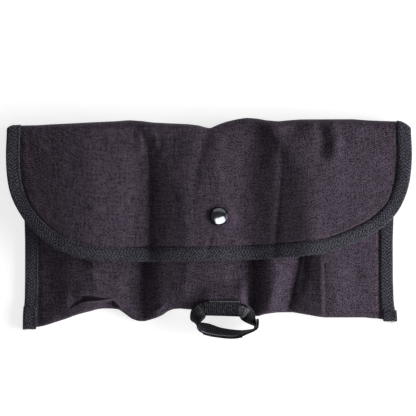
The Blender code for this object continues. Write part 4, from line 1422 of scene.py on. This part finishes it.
def build_hooks():
    """Rows of small hooks on the inner side of the strap's end."""
    pad = ribbon(
        "hook_pad", STRAP_END, BRISTLE, width=11.0, thick=0.4, offset=-1.1, rib=0.0, share=(0.66, 0.99)
    )
    on_body(pad, "hook_tab", "hook_tape", "hook_patch")
    centre, edge, out = web_frames(STRAP_END, 0.5)
    runs = []
    for i in range(int(0.68 * len(centre)), int(0.98 * len(centre)), 2):
        for k in range(9):
            foot = centre[i] + edge[i] * (k - 4) * 1.15 - out[i] * 1.25
            hook = [(0.0, 0.0), (0.35, 0.0), (0.55, 0.15), (0.5, 0.4)]
            runs.append([foot - out[i] * down + edge[i] * across for down, across in hook])
    hooks = fibres("hook_bristles", runs, 0.13, BRISTLE, sides=5)
    on_body(hooks, "hook_tab", "hook_tape")


# ---------------------------------------------------------------- stage


def build_stage():
    """A wide round floor whose rim sweeps up behind the view."""
    # (radius, height) in metres, out from the middle
    profile = [(0.6, 0.0), (1.5, 0.0), (4.0, 0.0), (7.0, 0.0), (8.5, 0.12), (9.6, 0.6)]
    profile += [(10.2, 1.4), (10.4, 2.6)]
    sides, level = 64, -0.4
    turns = np.arange(sides) * 2 * math.pi / sides
    verts = [(0.0, 0.0, level)]
    for r, h in profile:
        verts += [(r * math.cos(t) / MM, r * math.sin(t) / MM, h / MM + level) for t in turns]
    faces = [(0, 1 + k, 1 + (k + 1) % sides) for k in range(sides)]
    for ring in range(len(profile) - 1):
        low, high = 1 + ring * sides, 1 + (ring + 1) * sides
        for k in range(sides):
            m = (k + 1) % sides
            faces.append((low + k, high + k, high + m, low + m))
    floor = mesh_object("floor", verts, faces, pale_floor("pale_floor"))


def lamp(name, place, size, power):
    """A rectangular light aimed at the middle of the bag."""
    data = bpy.data.lights.new(name, "AREA")
    data.shape = "RECTANGLE"
    data.size, data.size_y = size
    data.energy = power
    obj = bpy.data.objects.new(name, data)
    bpy.context.scene.collection.objects.link(obj)
    obj.location = place
    direction = Vector((0.0, 0.0, 0.01)) - Vector(place)
    obj.rotation_euler = direction.to_track_quat("-Z", "Y").to_euler()
    return obj


def build_light_and_camera():
    """A low key from the right, weak fills, a card for the metal, and a long lens overhead."""
    world = bpy.data.worlds.new("studio")
    world.use_nodes = True
    backdrop = world.node_tree.nodes["Background"]
    backdrop.inputs["Color"].default_value = (1.0, 1.0, 1.0, 1.0)
    backdrop.inputs["Strength"].default_value = 0.05
    scene = bpy.context.scene
    scene.world = world
    scene.view_settings.view_transform = "Standard"
    lamp("key", (2.15, -0.30, 0.66), (1.7, 0.8), 108.0)
    lamp("top_fill", (0.1, 1.15, 0.95), (2.6, 1.0), 2.7)
    lamp("front", (0.12, -1.0, 1.05), (1.2, 1.0), 2.2)
    card = lamp("reflector", (0.24, -0.78, 1.22), (1.8, 1.2), 22.5)
    card.visible_diffuse = False

    camera = bpy.data.cameras.new("camera")
    camera.lens = 200.0
    camera.sensor_width = 36.0
    camera.clip_end = 10.0
    obj = bpy.data.objects.new("camera", camera)
    scene.collection.objects.link(obj)
    obj.location = (-0.0008, 0.0162, 1.898)
    scene.camera = obj


# ---------------------------------------------------------------- assemble

build_flap()
build_flap_tape()
build_pouch()
build_pocket()
build_hem("mouth_hem", np.arange(-133.5, 133.6, 1.5), MOUTH_Y, front_z, 1.45, 8.0, "mouth_tape")
build_side_tape(-1, "side_tape_left", -64.5, "side_binding_left")
build_side_tape(1, "side_tape_right", -67.6, "side_binding_right")
build_divider_seams()
build_back_seam()
build_press_stud()
build_strap()
build_stage()
build_light_and_camera()
